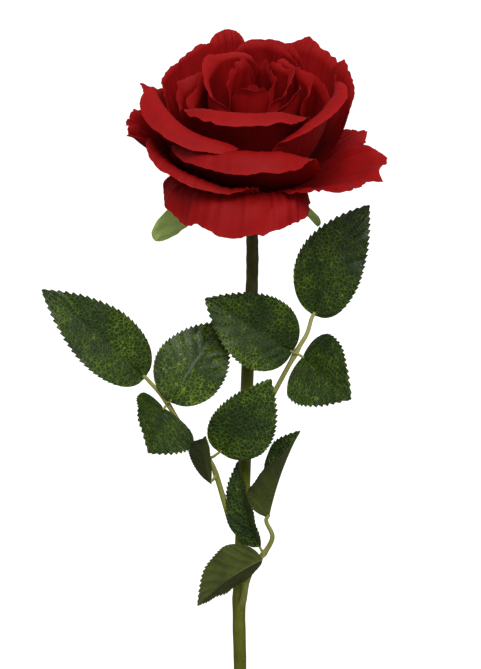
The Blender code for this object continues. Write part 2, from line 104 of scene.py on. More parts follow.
def through(at: Array, left: float, middle: float, right: float) -> Array:
    """Reads the smooth curve through three values.

    Args:
        at: places from -1 to 1.
        left: the value at -1.
        middle: the value at 0.
        right: the value at 1.

    Returns:
        The value at each place.
    """
    return middle + at * (right - left) / 2 + at * at * (left + right - 2 * middle) / 2


def smooth_line(points: Sequence[Sequence[float]], count: int) -> Array:
    """Draws a smooth line through points.

    Args:
        points: the places that the line goes through.
        count: how many points to return, evenly spaced in parameter.

    Returns:
        The line, count x 3.
    """
    held = np.array([list(p) for p in points], float)
    ends = np.vstack([2 * held[0] - held[1], held, 2 * held[-1] - held[-2]])
    place = np.linspace(0, len(held) - 1, count)
    k = np.minimum(place.astype(int), len(held) - 2)
    t = (place - k)[:, None]
    a, b, c, d = (ends[k + i] for i in range(4))
    return 0.5 * (2 * b + (c - a) * t + (2 * a - 5 * b + 4 * c - d) * t**2 + (3 * b - 3 * c + d - a) * t**3)


class Ripple:
    """A smooth uneven wave that is the same each time for the same seed."""

    def __init__(self, seed: int, slowest: float, fastest: float, parts: int = 7) -> None:
        """Picks the sine waves that add up to it.

        Args:
            seed: fixes the wave.
            slowest: the fewest turns over a unit of length.
            fastest: the most turns.
            parts: how many sine waves there are.
        """
        random = np.random.default_rng(seed)
        self.turns = np.linspace(slowest, fastest, parts) * random.uniform(0.85, 1.15, parts)
        self.start = random.uniform(0, 2 * math.pi, parts)
        self.drift = random.uniform(-1, 1, parts)
        share = (slowest / np.linspace(slowest, fastest, parts)) ** 0.6
        self.share = share / np.sqrt((share**2).sum() / 2)

    def at(self, across: Array, along: Union[Array, float] = 0.0) -> Array:
        """Reads the wave, about -1.5 to 1.5.

        Args:
            across: places along the wave's main direction.
            along: places along the other direction, in which it changes slowly.

        Returns:
            The wave's height at each place.
        """
        total = np.zeros(np.broadcast(across, along).shape)
        for turns, start, drift, share in zip(self.turns, self.start, self.drift, self.share):
            total = total + share * np.sin(2 * math.pi * turns * (across + 0.35 * drift * along) + start)
        return total


# ------------------------------------------------------------------------------------ node trees
class Wiring:
    """Adds nodes to one tree and joins them."""

    def __init__(self, tree: bpy.types.NodeTree) -> None:
        """Keeps the tree that the nodes go in."""
        self.tree = tree

    def feed(self, socket: Socket, value: Feed) -> None:
        """Joins an input to another node's output, or sets its value."""
        if isinstance(value, bpy.types.NodeSocket):
            self.tree.links.new(value, socket)
        else:
            socket.default_value = value

    def node(
        self, kind: str, inputs: Optional[Dict[Union[int, str], Feed]] = None, **settings: object,
    ) -> bpy.types.Node:
        """Adds a node.

        Args:
            kind: the node's type.
            inputs: what goes in each input, by the input's name or number.
            settings: the node's own properties.

        Returns:
            The new node.
        """
        made = self.tree.nodes.new(kind)
        for key, value in settings.items():
            setattr(made, key, value)
        for key, value in (inputs or {}).items():
            self.feed(made.inputs[key], value)
        return made

    def math(self, operation: str, first: Feed, second: Feed = 0.0, third: Feed = 0.0) -> Socket:
        """Works out one number from up to three.

        Args:
            operation: the sum to do, as Blender names it.
            first: the first number.
            second: the second number.
            third: the third number.

        Returns:
            The socket that holds the result.
        """
        return self.node("ShaderNodeMath", {0: first, 1: second, 2: third}, operation=operation).outputs[0]

    def plus(self, first: Feed, second: Feed) -> Socket:
        """Adds two numbers."""
        return self.math("ADD", first, second)

    def less(self, first: Feed, second: Feed) -> Socket:
        """Takes the second number from the first."""
        return self.math("SUBTRACT", first, second)

    def times(self, first: Feed, second: Feed) -> Socket:
        """Multiplies two numbers."""
        return self.math("MULTIPLY", first, second)

    def over(self, first: Feed, second: Feed) -> Socket:
        """Divides the first number by the second."""
        return self.math("DIVIDE", first, second)

    def part(self, vector: Feed, number: int) -> Socket:
        """Reads one number of a vector: 0, 1 or 2."""
        return self.node("ShaderNodeSeparateXYZ", {0: vector}).outputs[number]

    def rise(self, value: Feed, low: Feed, high: Feed, start: Feed = 0.0, end: Feed = 1.0) -> Socket:
        """Maps a stretch of values smoothly onto another.

        Args:
            value: the number to read.
            low: where the stretch starts.
            high: where it ends.
            start: the result at low and before it.
            end: the result at high and past it.

        Returns:
            The socket that holds the result.
        """
        return self.node(
            "ShaderNodeMapRange",
            {0: value, 1: low, 2: high, 3: start, 4: end},
            interpolation_type="SMOOTHSTEP",
        ).outputs[0]

    def dye(self, share: Feed, under: Feed, over: Feed) -> Socket:
        """Lays one colour over another.

        Args:
            share: how much of the upper colour shows, from 0 to 1.
            under: the lower colour.
            over: the upper colour.

        Returns:
            The socket that holds the mixed colour.
        """
        under, over = ((*c, 1.0) if isinstance(c, tuple) and len(c) == 3 else c for c in (under, over))
        return self.node("ShaderNodeMix", {0: share, 6: under, 7: over}, data_type="RGBA").outputs[2]

    def stretched(self, vector: Feed, across: Feed, along: Feed, third: Feed) -> Socket:
        """Multiplies a place by a factor in each direction.

        Args:
            vector: the place.
            across: the factor for its first number.
            along: the factor for its second number.
            third: the factor for its third number.

        Returns:
            The socket that holds the new place.
        """
        factors = self.node("ShaderNodeCombineXYZ", {0: across, 1: along, 2: third}).outputs[0]
        return self.node("ShaderNodeVectorMath", {0: vector, 1: factors}, operation="MULTIPLY").outputs[0]


class EffectGroups:
    """The shader node groups that several materials share. Each is built once, on first use."""

    def __init__(self) -> None:
        """Starts with no group built."""
        self.built: Dict[str, bpy.types.NodeTree] = {}

    def start(
        self, name: str, inputs: Dict[str, Union[float, tuple]], outputs: Sequence[str],
    ) -> Tuple[Wiring, bpy.types.Node, bpy.types.Node]:
        """Makes an empty group.

        Args:
            name: the group's name.
            inputs: each input's first value; a tuple makes a vector input.
            outputs: the names of its outputs, all numbers.

        Returns:
            The group's wiring, its input node and its output node.
        """
        tree = bpy.data.node_groups.new(name, "ShaderNodeTree")
        for key, value in inputs.items():
            kind = "NodeSocketVector" if isinstance(value, tuple) else "NodeSocketFloat"
            tree.interface.new_socket(name=key, in_out="INPUT", socket_type=kind).default_value = value
        for key in outputs:
            tree.interface.new_socket(name=key, in_out="OUTPUT", socket_type="NodeSocketFloat")
        self.built[name] = tree
        wiring = Wiring(tree)
        return wiring, wiring.node("NodeGroupInput"), wiring.node("NodeGroupOutput")

    def mottle(self) -> bpy.types.NodeTree:
        """Uneven soft blotches with fine specks in them: a Mask and a Height."""
        if "mottle" in self.built:
            return self.built["mottle"]
        w, source, sink = self.start(
            "mottle", {"Vector": (0.0, 0.0, 0.0), "Scale": 40.0, "Low": 0.35, "High": 0.65},
            ("Mask", "Height"),
        )
        blotch = w.node(
            "ShaderNodeTexNoise",
            {
                "Vector": source.outputs["Vector"], "Scale": source.outputs["Scale"], "Detail": 4.0,
                "Roughness": 0.6,
            },
        ).outputs[0]
        w.feed(sink.inputs["Mask"], w.rise(blotch, source.outputs["Low"], source.outputs["High"]))
        w.feed(sink.inputs["Height"], blotch)
        return self.built["mottle"]

    def fibres(self) -> bpy.types.NodeTree:
        """Fine lines that run along a petal, a sepal or a stem: a Mask and a Height."""
        if "fibres" in self.built:
            return self.built["fibres"]
        w, source, sink = self.start(
            "fibres",
            {
                "Vector": (0.0, 0.0, 0.0), "Across": 1.0, "Along": 0.05, "Third": 1.0, "Low": 0.35,
                "High": 0.65,
            },
            ("Mask", "Height"),
        )
        place = w.stretched(*(source.outputs[key] for key in ("Vector", "Across", "Along", "Third")))
        coarse = w.node(
            "ShaderNodeTexNoise",
            {"Vector": place, "Scale": 1.0, "Detail": 3.0, "Roughness": 0.55, "Distortion": 0.4},
        ).outputs[0]
        fine = w.node(
            "ShaderNodeTexNoise", {"Vector": place, "Scale": 3.3, "Detail": 2.0, "Roughness": 0.5},
        ).outputs[0]
        both = w.math("MULTIPLY_ADD", fine, 0.35, w.times(coarse, 0.65))
        w.feed(sink.inputs["Mask"], w.rise(both, source.outputs["Low"], source.outputs["High"]))
        w.feed(sink.inputs["Height"], both)
        return self.built["fibres"]

    def veins(self) -> bpy.types.NodeTree:
        """A blade's midrib, its side veins and the net between them: Veins, Net and Height."""
        if "veins" in self.built:
            return self.built["veins"]
        w, source, sink = self.start(
            "veins",
            {"Blade": (0.5, 0.5, 0.0), "Flat": (0.0, 0.0, 0.0), "Pairs": VEIN_PAIRS, "Net": VEIN_NET},
            ("Veins", "Net", "Height"),
        )
        blade = w.node("ShaderNodeSeparateXYZ", {0: source.outputs["Blade"]}).outputs
        flat = w.node("ShaderNodeSeparateXYZ", {0: source.outputs["Flat"]}).outputs
        side = w.less(w.times(blade[0], 2.0), 1.0)
        out = w.math("ABSOLUTE", side)
        wander = w.node(
            "ShaderNodeTexNoise", {"Vector": source.outputs["Flat"], "Scale": 0.16, "Detail": 2.0},
        ).outputs[0]
        sweep = w.times(out, w.less(VEIN_SWEEP, w.times(out, VEIN_EASE)))
        start = w.less(blade[1], sweep)
        start = w.plus(start, w.times(w.less(wander, 0.5), 0.05))
        turn = w.plus(w.times(start, source.outputs["Pairs"]), w.times(w.math("SIGN", side), VEIN_STAGGER))
        apart = w.math("ABSOLUTE", w.less(w.math("FRACT", turn), 0.5))
        width = w.less(0.042, w.times(out, 0.026))
        ribs = w.less(1.0, w.rise(apart, w.times(width, 0.35), width))
        middle = w.less(0.42, w.times(blade[1], 0.3))
        spine = w.less(1.0, w.rise(w.math("ABSOLUTE", flat[0]), w.times(middle, 0.5), middle))
        veins = w.math("MAXIMUM", spine, w.times(ribs, 0.8))
        cell = w.node(
            "ShaderNodeTexVoronoi",
            {"Vector": source.outputs["Flat"], "Scale": source.outputs["Net"], "Randomness": 0.95},
            feature="DISTANCE_TO_EDGE",
        ).outputs[0]
        small = w.node(
            "ShaderNodeTexVoronoi",
            {
                "Vector": source.outputs["Flat"], "Scale": w.times(source.outputs["Net"], 2.1),
                "Randomness": 1.0,
            },
            feature="DISTANCE_TO_EDGE",
        ).outputs[0]
        net = w.less(1.0, w.rise(cell, 0.01, 0.09))
        lace = w.times(w.less(1.0, w.rise(small, 0.01, 0.08)), 0.45)
        net = w.math("MAXIMUM", net, lace)
        raised = w.times(w.less(1.0, net), w.less(1.0, veins))
        w.feed(sink.inputs["Veins"], veins)
        w.feed(sink.inputs["Net"], net)
        w.feed(sink.inputs["Height"], raised)
        return self.built["veins"]


EFFECTS = EffectGroups()


# ------------------------------------------------------------------------------------ finishes
class Finish:
    """A material in the making: the Principled shader, and the places that patterns are read at."""

    def __init__(self, name: str, **constants: Union[float, tuple]) -> None:
        """Makes the material.

        Args:
            name: the material's name.
            constants: values for the shader's own inputs, with _ for each space in the name.
        """
        self.material = bpy.data.materials.new(name)
        self.material.use_nodes = True
        self.wiring = Wiring(self.material.node_tree)
        self.shader = self.material.node_tree.nodes["Principled BSDF"]
        for key, value in constants.items():
            self.shader.inputs[key.replace("_", " ")].default_value = value

    def place(self) -> Socket:
        """The point's own place in the object's frame."""
        return self.wiring.node("ShaderNodeTexCoord").outputs["Object"]

    def attribute(self, name: str) -> Socket:
        """Reads a vector that the mesh carries at each point."""
        return self.wiring.node(
            "ShaderNodeAttribute", attribute_type="GEOMETRY", attribute_name=name,
        ).outputs["Vector"]

    def blade(self) -> Socket:
        """Where the point lies on its sheet, from 0 to 1 across and along."""
        return self.wiring.node("ShaderNodeUVMap", uv_map="blade").outputs["UV"]

    def group(self, tree: bpy.types.NodeTree, **inputs: Feed) -> bpy.types.Node:
        """Places a shared effect in this material, with its own values."""
        made = self.wiring.node("ShaderNodeGroup", node_tree=tree)
        for key, value in inputs.items():
            self.wiring.feed(made.inputs[key], value)
        return made

    def bump(self, height: Socket, depth: float, strength: float = 1.0) -> None:
        """Raises the surface by a height from 0 to 1.

        Args:
            height: where the surface stands up.
            depth: how far it stands up, in metres.
            strength: how much of that shows.
        """
        normal = self.wiring.node(
            "ShaderNodeBump", {"Strength": strength, "Distance": depth, "Height": height},
        ).outputs[0]
        self.wiring.feed(self.shader.inputs["Normal"], normal)

    def feed(self, **inputs: Feed) -> None:
        """Feeds the shader's inputs, with _ for each space in their names."""
        for key, value in inputs.items():
            self.wiring.feed(self.shader.inputs[key.replace("_", " ")], value)


@dataclass(frozen=True)
class PetalVelvet:
    """The petals' deep red, matt and finely lined along their length, with painted shade towards each
    petal's base and a painted highlight along its rim.
    """

    base: Colour = rgb(152, 12, 13)
    deep: Colour = rgb(128, 7, 11)
    # Lighter red for the fine streaks along the petals, and for the painted highlight along each petal's
    # rim.
    streak_and_rim_highlight: Colour = rgb(168, 24, 26)
    # claw: a darker red laid over each petal's lower part, painted shade deep in the bloom
    claw: Colour = rgb(84, 3, 6)
    roughness: float = 0.6
    gloss: float = 0.12

    def material(self) -> bpy.types.Material:
        """Builds the material."""
        made = Finish("petal_velvet", Specular_IOR_Level=self.gloss)
        w, flat = made.wiring, made.attribute("flat")
        along = w.part(made.blade(), 1)
        lines = made.group(
            EFFECTS.fibres(), Vector=flat, Across=0.55, Along=0.09, Third=9.1, Low=0.40, High=0.70,
        )
        blotch = made.group(EFFECTS.mottle(), Vector=made.place(), Scale=55.0, Low=0.34, High=0.68)
        colour = w.dye(w.times(blotch.outputs["Mask"], 0.55), self.base, self.deep)
        colour = w.dye(w.times(lines.outputs["Mask"], 0.16), colour, self.streak_and_rim_highlight)
        # Painted shade: darker towards each petal's base, which sits deep in the bloom.
        colour = w.dye(w.rise(along, 0.15, 0.75, 0.9, 0.0), colour, self.claw)
        # Painted highlight: lighter along each petal's rim.
        colour = w.dye(w.rise(along, 0.9, 1.0, 0.0, 0.4), colour, self.streak_and_rim_highlight)
        rough = w.plus(self.roughness, w.times(lines.outputs["Height"], 0.12))
        made.feed(Base_Color=colour, Roughness=rough)
        made.bump(lines.outputs["Height"], 0.22 * MM, 0.7)
        return made.material


@dataclass(frozen=True)
class LeafFace:
    """A leaflet's upper side: dark green, quilted between a pale net of veins, with a soft gloss."""

    ground: Colour = rgb(25, 50, 3)
    shade: Colour = rgb(17, 38, 3)
    net: Colour = rgb(128, 158, 18)
    veins: Colour = rgb(30, 52, 6)
    roughness: float = 0.32

    def material(self) -> bpy.types.Material:
        """Builds the material."""
        made = Finish("leaf_face", Specular_IOR_Level=0.35)
        w, flat = made.wiring, made.attribute("flat")
        pattern = made.group(EFFECTS.veins(), Blade=made.blade(), Flat=flat)
        blotch = made.group(EFFECTS.mottle(), Vector=made.place(), Scale=70.0, Low=0.3, High=0.7)
        colour = w.dye(blotch.outputs["Mask"], self.ground, self.shade)
        own = w.math("FRACT", w.times(w.part(flat, 2), 0.37))
        strength = w.rise(blotch.outputs["Height"], 0.35, 0.62, w.math("MULTIPLY_ADD", own, 0.35, 0.6), 0.2)
        colour = w.dye(w.times(pattern.outputs["Net"], strength), colour, self.net)
        colour = w.dye(w.times(pattern.outputs["Veins"], 0.6), colour, self.veins)
        rough = w.plus(self.roughness, w.times(pattern.outputs["Net"], 0.12))
        made.feed(Base_Color=colour, Roughness=rough)
        made.bump(pattern.outputs["Height"], 0.22 * MM, 0.7)
        return made.material


@dataclass(frozen=True)
class LeafBack:
    """A leaflet's underside: dull olive, with its veins standing up."""

    ground: Colour = rgb(70, 80, 22)
    shade: Colour = rgb(52, 62, 17)
    veins: Colour = rgb(112, 116, 62)
    roughness: float = 0.62

    def material(self) -> bpy.types.Material:
        """Builds the material."""
        made = Finish("leaf_back", Specular_IOR_Level=0.3)
        w, flat = made.wiring, made.attribute("flat")
        pattern = made.group(EFFECTS.veins(), Blade=made.blade(), Flat=flat)
        blotch = made.group(EFFECTS.mottle(), Vector=made.place(), Scale=110.0, Low=0.3, High=0.7)
        colour = w.dye(blotch.outputs["Mask"], self.ground, self.shade)
        colour = w.dye(w.times(pattern.outputs["Net"], 0.12), colour, self.veins)
        colour = w.dye(w.times(pattern.outputs["Veins"], 0.5), colour, self.veins)
        rough = w.plus(self.roughness, w.times(blotch.outputs["Height"], 0.1))
        made.feed(Base_Color=colour, Roughness=rough)
        made.bump(pattern.outputs["Veins"], 0.3 * MM, 0.8)
        return made.material


@dataclass(frozen=True)
class SepalGreen:
    """The sepals' matt green, streaked along their length, with the colour brightened past their own green
    as painted light.
    """

    # Painted light: brightened past the sepals' own green to make up for the shade under the bloom.
    base: Colour = rgb(222, 246, 142)
    streak: Colour = rgb(178, 212, 112)
    roughness: float = 0.7

    def material(self) -> bpy.types.Material:
        """Builds the material."""
        made = Finish("sepal_green", Specular_IOR_Level=0.3)
        w = made.wiring
        lines = made.group(
            EFFECTS.fibres(), Vector=made.attribute("flat"), Across=0.9, Along=0.12, Third=7.3, Low=0.38,
            High=0.64,
        )
        blotch = made.group(EFFECTS.mottle(), Vector=made.place(), Scale=160.0, Low=0.36, High=0.64)
        share = w.times(w.math("MAXIMUM", lines.outputs["Mask"], blotch.outputs["Mask"]), 0.6)
        made.feed(
            Base_Color=w.dye(share, self.base, self.streak),
            Roughness=w.plus(self.roughness, w.times(blotch.outputs["Height"], 0.1)),
        )
        made.bump(lines.outputs["Height"], 0.25 * MM, 0.7)
        return made.material


@dataclass(frozen=True)
class StemSkin:
    """The stem's satin skin, fresher green lower down and darker towards the top, where the darkening under
    the bloom is painted shade.
    """

    low: Colour = rgb(78, 84, 3)
    middle: Colour = rgb(108, 118, 22)
    # Painted shade: the dark colour towards the top, under the bloom; it is also the colour of the fine
    # streaks.
    top: Colour = rgb(60, 58, 3)
    roughness: float = 0.46

    def material(self, name: str, bottom: float, height: float) -> bpy.types.Material:
        """Builds the material.

        Args:
            name: the material's name.
            bottom: the height at which the low colour starts.
            height: the height at which the top colour is reached.

        Returns:
            The material.
        """
        made = Finish(name, Specular_IOR_Level=0.3)
        w, place = made.wiring, made.place()
        level = w.part(place, 2)
        share = w.over(w.less(level, bottom), height - bottom)
        colour = w.dye(w.rise(share, 0.0, 0.45), self.low, self.middle)
        # With the stem's colours, this darkening towards the top, under the bloom, is painted shade.
        colour = w.dye(w.rise(share, 0.62, 1.0), colour, self.top)
        lines = made.group(
            EFFECTS.fibres(), Vector=place, Across=900.0, Along=900.0, Third=22.0, Low=0.34, High=0.66,
        )
        blotch = made.group(EFFECTS.mottle(), Vector=place, Scale=210.0, Low=0.42, High=0.66)
        colour = w.dye(w.times(lines.outputs["Mask"], 0.35), colour, self.top)
        colour = w.dye(w.times(blotch.outputs["Mask"], 0.14), colour, rgb(140, 142, 56))
        made.feed(
            Base_Color=colour, Roughness=w.plus(self.roughness, w.times(blotch.outputs["Height"], 0.14)),
        )
        made.bump(lines.outputs["Height"], 0.18 * MM, 0.6)
        return made.material


@dataclass(frozen=True)
class Glaze:
    """The vase's off-white glaze, pooled and faintly specked, over a bare clay foot."""

    base: Colour = rgb(232, 228, 218)
    pool: Colour = rgb(214, 209, 196)
    clay: Colour = rgb(176, 150, 120)
    roughness: float = 0.16

    def material(self, bare: float) -> bpy.types.Material:
        """Builds the material, with bare clay up to the height bare."""
        made = Finish("vase_glaze", Coat_Weight=0.35, Coat_Roughness=0.05)
        w, place = made.wiring, made.place()
        level = w.part(place, 2)
        cloud = made.group(EFFECTS.mottle(), Vector=place, Scale=22.0, Low=0.3, High=0.7)
        speck = made.group(EFFECTS.mottle(), Vector=place, Scale=650.0, Low=0.68, High=0.74)
        colour = w.dye(w.times(cloud.outputs["Mask"], 0.6), self.base, self.pool)
        colour = w.dye(w.times(speck.outputs["Mask"], 0.35), colour, rgb(140, 116, 88))
        edge = w.plus(level, w.times(cloud.outputs["Height"], 0.6 * MM))
        clay = w.rise(edge, bare, bare + 0.35 * MM, 1.0, 0.0)
        colour = w.dye(clay, colour, self.clay)
        rough = w.plus(self.roughness, w.times(clay, 0.6))
        made.feed(Base_Color=colour, Roughness=w.plus(rough, w.times(cloud.outputs["Height"], 0.05)))
        made.bump(cloud.outputs["Height"], 0.25 * MM, 0.3)
        return made.material


# ------------------------------------------------------------------------------------ shapes
def dressed(name: str, mesh: bpy.types.Mesh, looks: Sequence[bpy.types.Material]) -> bpy.types.Object:
    """Makes an object at the origin from a mesh whose place is in its points.

    Args:
        name: the object's name.
        mesh: its mesh.
        looks: its materials, in the order of the mesh's material numbers.

    Returns:
        The object.
    """
    if len(mesh.materials):
        mesh.materials.clear()
    for look in looks:
        mesh.materials.append(look)
    obj = bpy.data.objects.new(name, mesh)
    bpy.context.scene.collection.objects.link(obj)
    return obj


@dataclass
class Sheet:
    """A thin sheet, as a grid of points on its middle surface.

    points is rows x columns x 3 in metres, flat is rows x columns x 2, the millimetres across and
    along the sheet laid flat, and thickness is in metres.
    """

    points: Array
    flat: Array
    thickness: Union[float, Array]

    def normals(self) -> Array:
        """Works out the way that the sheet's face looks at each point."""
        found = np.cross(np.gradient(self.points, axis=1), np.gradient(self.points, axis=0))
        return found / np.maximum(np.linalg.norm(found, axis=2, keepdims=True), 1e-12)

    def lifted(self, height: Array) -> "Sheet":
        """Moves each point off the face by its own height, in metres."""
        return Sheet(self.points + self.normals() * height[..., None], self.flat, self.thickness)

    def piece(self, name: str, looks: Sequence[bpy.types.Material]) -> bpy.types.Object:
        """Makes the sheet a closed thin shell.

        Args:
            name: the object's name.
            looks: the face's material, and the back's where it is another.

        Returns:
            The object, with its place on the blade as a UV map and its flat place as an attribute.
        """
        rows, columns = self.points.shape[:2]
        half = self.normals() * (np.broadcast_to(self.thickness, (rows, columns)) / 2)[..., None]
        places = np.concatenate([(self.points + half).reshape(-1, 3), (self.points - half).reshape(-1, 3)])
        at = np.arange(rows * columns).reshape(rows, columns)
        square = np.stack([at[:-1, :-1], at[:-1, 1:], at[1:, 1:], at[1:, :-1]], axis=-1).reshape(-1, 4)
        back = square[:, ::-1] + rows * columns
        outline = np.concatenate([at[0, :], at[1:, -1], at[-1, -2::-1], at[-2:0:-1, 0]])
        after = np.roll(outline, -1)
        hem = np.stack([outline, outline + rows * columns, after + rows * columns, after], axis=-1)
        faces = np.concatenate([square, back, hem])
        mesh = bpy.data.meshes.new(name)
        mesh.vertices.add(len(places))
        mesh.vertices.foreach_set("co", places.astype(np.float32).ravel())
        mesh.loops.add(faces.size)
        mesh.loops.foreach_set("vertex_index", faces.astype(np.int32).ravel())
        mesh.polygons.add(len(faces))
        mesh.polygons.foreach_set("loop_start", np.arange(0, faces.size, 4, dtype=np.int32))
        if len(looks) > 1:
            number = np.zeros(len(faces), np.int32)
            number[len(square) : 2 * len(square)] = 1
            mesh.polygons.foreach_set("material_index", number)
        mesh.update(calc_edges=True)
        v, u = np.meshgrid(np.linspace(0, 1, rows), np.linspace(0, 1, columns), indexing="ij")
        blade = np.tile(np.stack([u, v], axis=-1).reshape(-1, 2), (2, 1))
        mesh.uv_layers.new(name="blade").uv.foreach_set(
            "vector", blade[faces.ravel()].astype(np.float32).ravel(),
        )
        flat = np.concatenate(
            [self.flat.reshape(-1, 2), np.full((rows * columns, 1), seed_of(name) % 97)], axis=1,
        )
        lies = mesh.attributes.new("flat", "FLOAT_VECTOR", "POINT")
        lies.data.foreach_set("vector", np.tile(flat, (2, 1)).astype(np.float32).ravel())
        mesh.validate()
        mesh.shade_smooth()
        mesh.set_sharp_from_angle(angle=55 * DEG)
        return dressed(name, mesh, looks)


class Growth:
    """Geometry Nodes trees that the vase, the stem and the stalks are made with."""

    def __init__(self) -> None:
        """Starts with no tree built."""
        self.built: Dict[str, bpy.types.NodeTree] = {}

    def start(self, name: str, sizes: Dict[str, Union[float, int]]) -> Tuple[Wiring, bpy.types.Node]:
        """Makes a tree with a shape and a finish coming in, and a shape going out.

        Args:
            name: the tree's name.
            sizes: each size's first value; a whole number makes a whole-number input.

        Returns:
            The tree's wiring and its input node.
        """
        tree = bpy.data.node_groups.new(name, "GeometryNodeTree")
        tree.interface.new_socket(name="Geometry", in_out="INPUT", socket_type="NodeSocketGeometry")
        for key, value in sizes.items():
            kind = "NodeSocketInt" if isinstance(value, int) else "NodeSocketFloat"
            tree.interface.new_socket(name=key, in_out="INPUT", socket_type=kind).default_value = value
        tree.interface.new_socket(name="Finish", in_out="INPUT", socket_type="NodeSocketMaterial")
        tree.interface.new_socket(name="Geometry", in_out="OUTPUT", socket_type="NodeSocketGeometry")
        self.built[name] = tree
        wiring = Wiring(tree)
        return wiring, wiring.node("NodeGroupInput")

    def close(self, w: Wiring, source: bpy.types.Node, shape: Socket) -> bpy.types.NodeTree:
        """Ends a tree: instances made real, faces smooth, and the finish set.

        Args:
            w: the tree's wiring.
            source: its input node.
            shape: the shape to give out.

        Returns:
            The tree.
        """
        real = w.node("GeometryNodeRealizeInstances", {0: shape}).outputs[0]
        smooth = w.node("GeometryNodeSetShadeSmooth", {0: real}).outputs[0]
        made = w.node("GeometryNodeSetMaterial", {"Geometry": smooth, "Material": source.outputs["Finish"]})
        w.feed(w.node("NodeGroupOutput").inputs[0], made.outputs[0])
        return w.tree

    def lathe(self) -> bpy.types.NodeTree:
        """A bottle turned about Z: foot, belly, neck, rolled lip, hollow inside and floor."""
        if "turned_vase" in self.built:
            return self.built["turned_vase"]
        w, source = self.start(
            "turned_vase",
            {
                "Height": 0.19, "Wall": 0.0032, "Floor": 0.008, "Foot Radius": 0.027, "Foot Bevel": 0.0015,
                "Belly Radius": 0.037, "Belly Height": 0.05, "Neck Radius": 0.0122, "Neck Height": 0.15,
                "Lip Radius": 0.016, "Rings": 200, "Sides": 96,
            },
        )
        size = source.outputs
        grid = w.node(
            "GeometryNodeMeshGrid",
            {"Size X": 1.0, "Size Y": 1.0, "Vertices X": size["Rings"], "Vertices Y": size["Sides"]},
        )
        across = w.node("ShaderNodeSeparateXYZ", {0: grid.outputs["UV Map"]}).outputs
        step = across[0]
        disc, wall, lip, inside = 0.06, 0.40, 0.10, 0.38

        def stretch(start: float, length: float) -> Socket:
            """The share done, from 0 to 1, of one stretch of the profile."""
            return self.clamped(w, w.over(w.less(step, start), length))

        foot, out, over = stretch(0, disc), stretch(disc, wall), stretch(disc + wall, lip)
        down, floor = stretch(disc + wall + lip, inside), stretch(1 - disc, disc)
        half = w.over(size["Wall"], 2.0)
        top = w.less(size["Height"], half)
        level = w.less(w.times(out, top), w.times(down, w.less(top, size["Floor"])))
        swell = self.clamped(w, w.over(level, size["Belly Height"]))
        swell = w.times(
            w.math("SINE", w.times(swell, math.pi / 2)), w.less(size["Belly Radius"], size["Foot Radius"]),
        )
        slope = w.over(
            w.less(level, size["Belly Height"]), w.less(size["Neck Height"], size["Belly Height"]),
        )
        slope = w.math("COSINE", w.times(self.clamped(w, slope), math.pi))
        slope = w.times(
            w.math("MULTIPLY_ADD", slope, -0.5, 0.5), w.less(size["Neck Radius"], size["Belly Radius"]),
        )
        flare = w.over(w.less(level, size["Neck Height"]), w.less(size["Height"], size["Neck Height"]))
        flare = w.times(
            w.math("POWER", self.clamped(w, flare), 2.0), w.less(size["Lip Radius"], size["Neck Radius"]),
        )
        radius = w.plus(w.plus(size["Foot Radius"], swell), w.plus(slope, flare))
        near = w.less(1.0, self.clamped(w, w.over(level, size["Foot Bevel"])))
        near = w.less(1.0, w.math("SQRT", w.less(1.0, w.times(near, near))))
        radius = w.less(radius, w.times(near, size["Foot Bevel"]))
        turn = w.times(over, math.pi)
        radius = w.plus(w.less(radius, half), w.times(half, w.math("COSINE", turn)))
        radius = w.times(radius, w.times(foot, w.less(1.0, floor)))
        height = w.plus(level, w.times(half, w.math("SINE", turn)))
        around = w.times(across[1], 2 * math.pi)
        place = w.node(
            "ShaderNodeCombineXYZ",
            {
                0: w.times(radius, w.math("COSINE", around)), 1: w.times(radius, w.math("SINE", around)),
                2: height,
            },
        ).outputs[0]
        shape = w.node(
            "GeometryNodeSetPosition", {"Geometry": grid.outputs["Mesh"], "Position": place},
        ).outputs[0]
        shape = w.node("GeometryNodeMergeByDistance", {"Geometry": shape, "Distance": 0.00001}).outputs[0]
        return self.close(w, source, shape)

    @staticmethod
    def clamped(w: Wiring, value: Socket) -> Socket:
        """Holds a number between 0 and 1."""
        return w.node("ShaderNodeClamp", {0: value, 1: 0.0, 2: 1.0}).outputs[0]

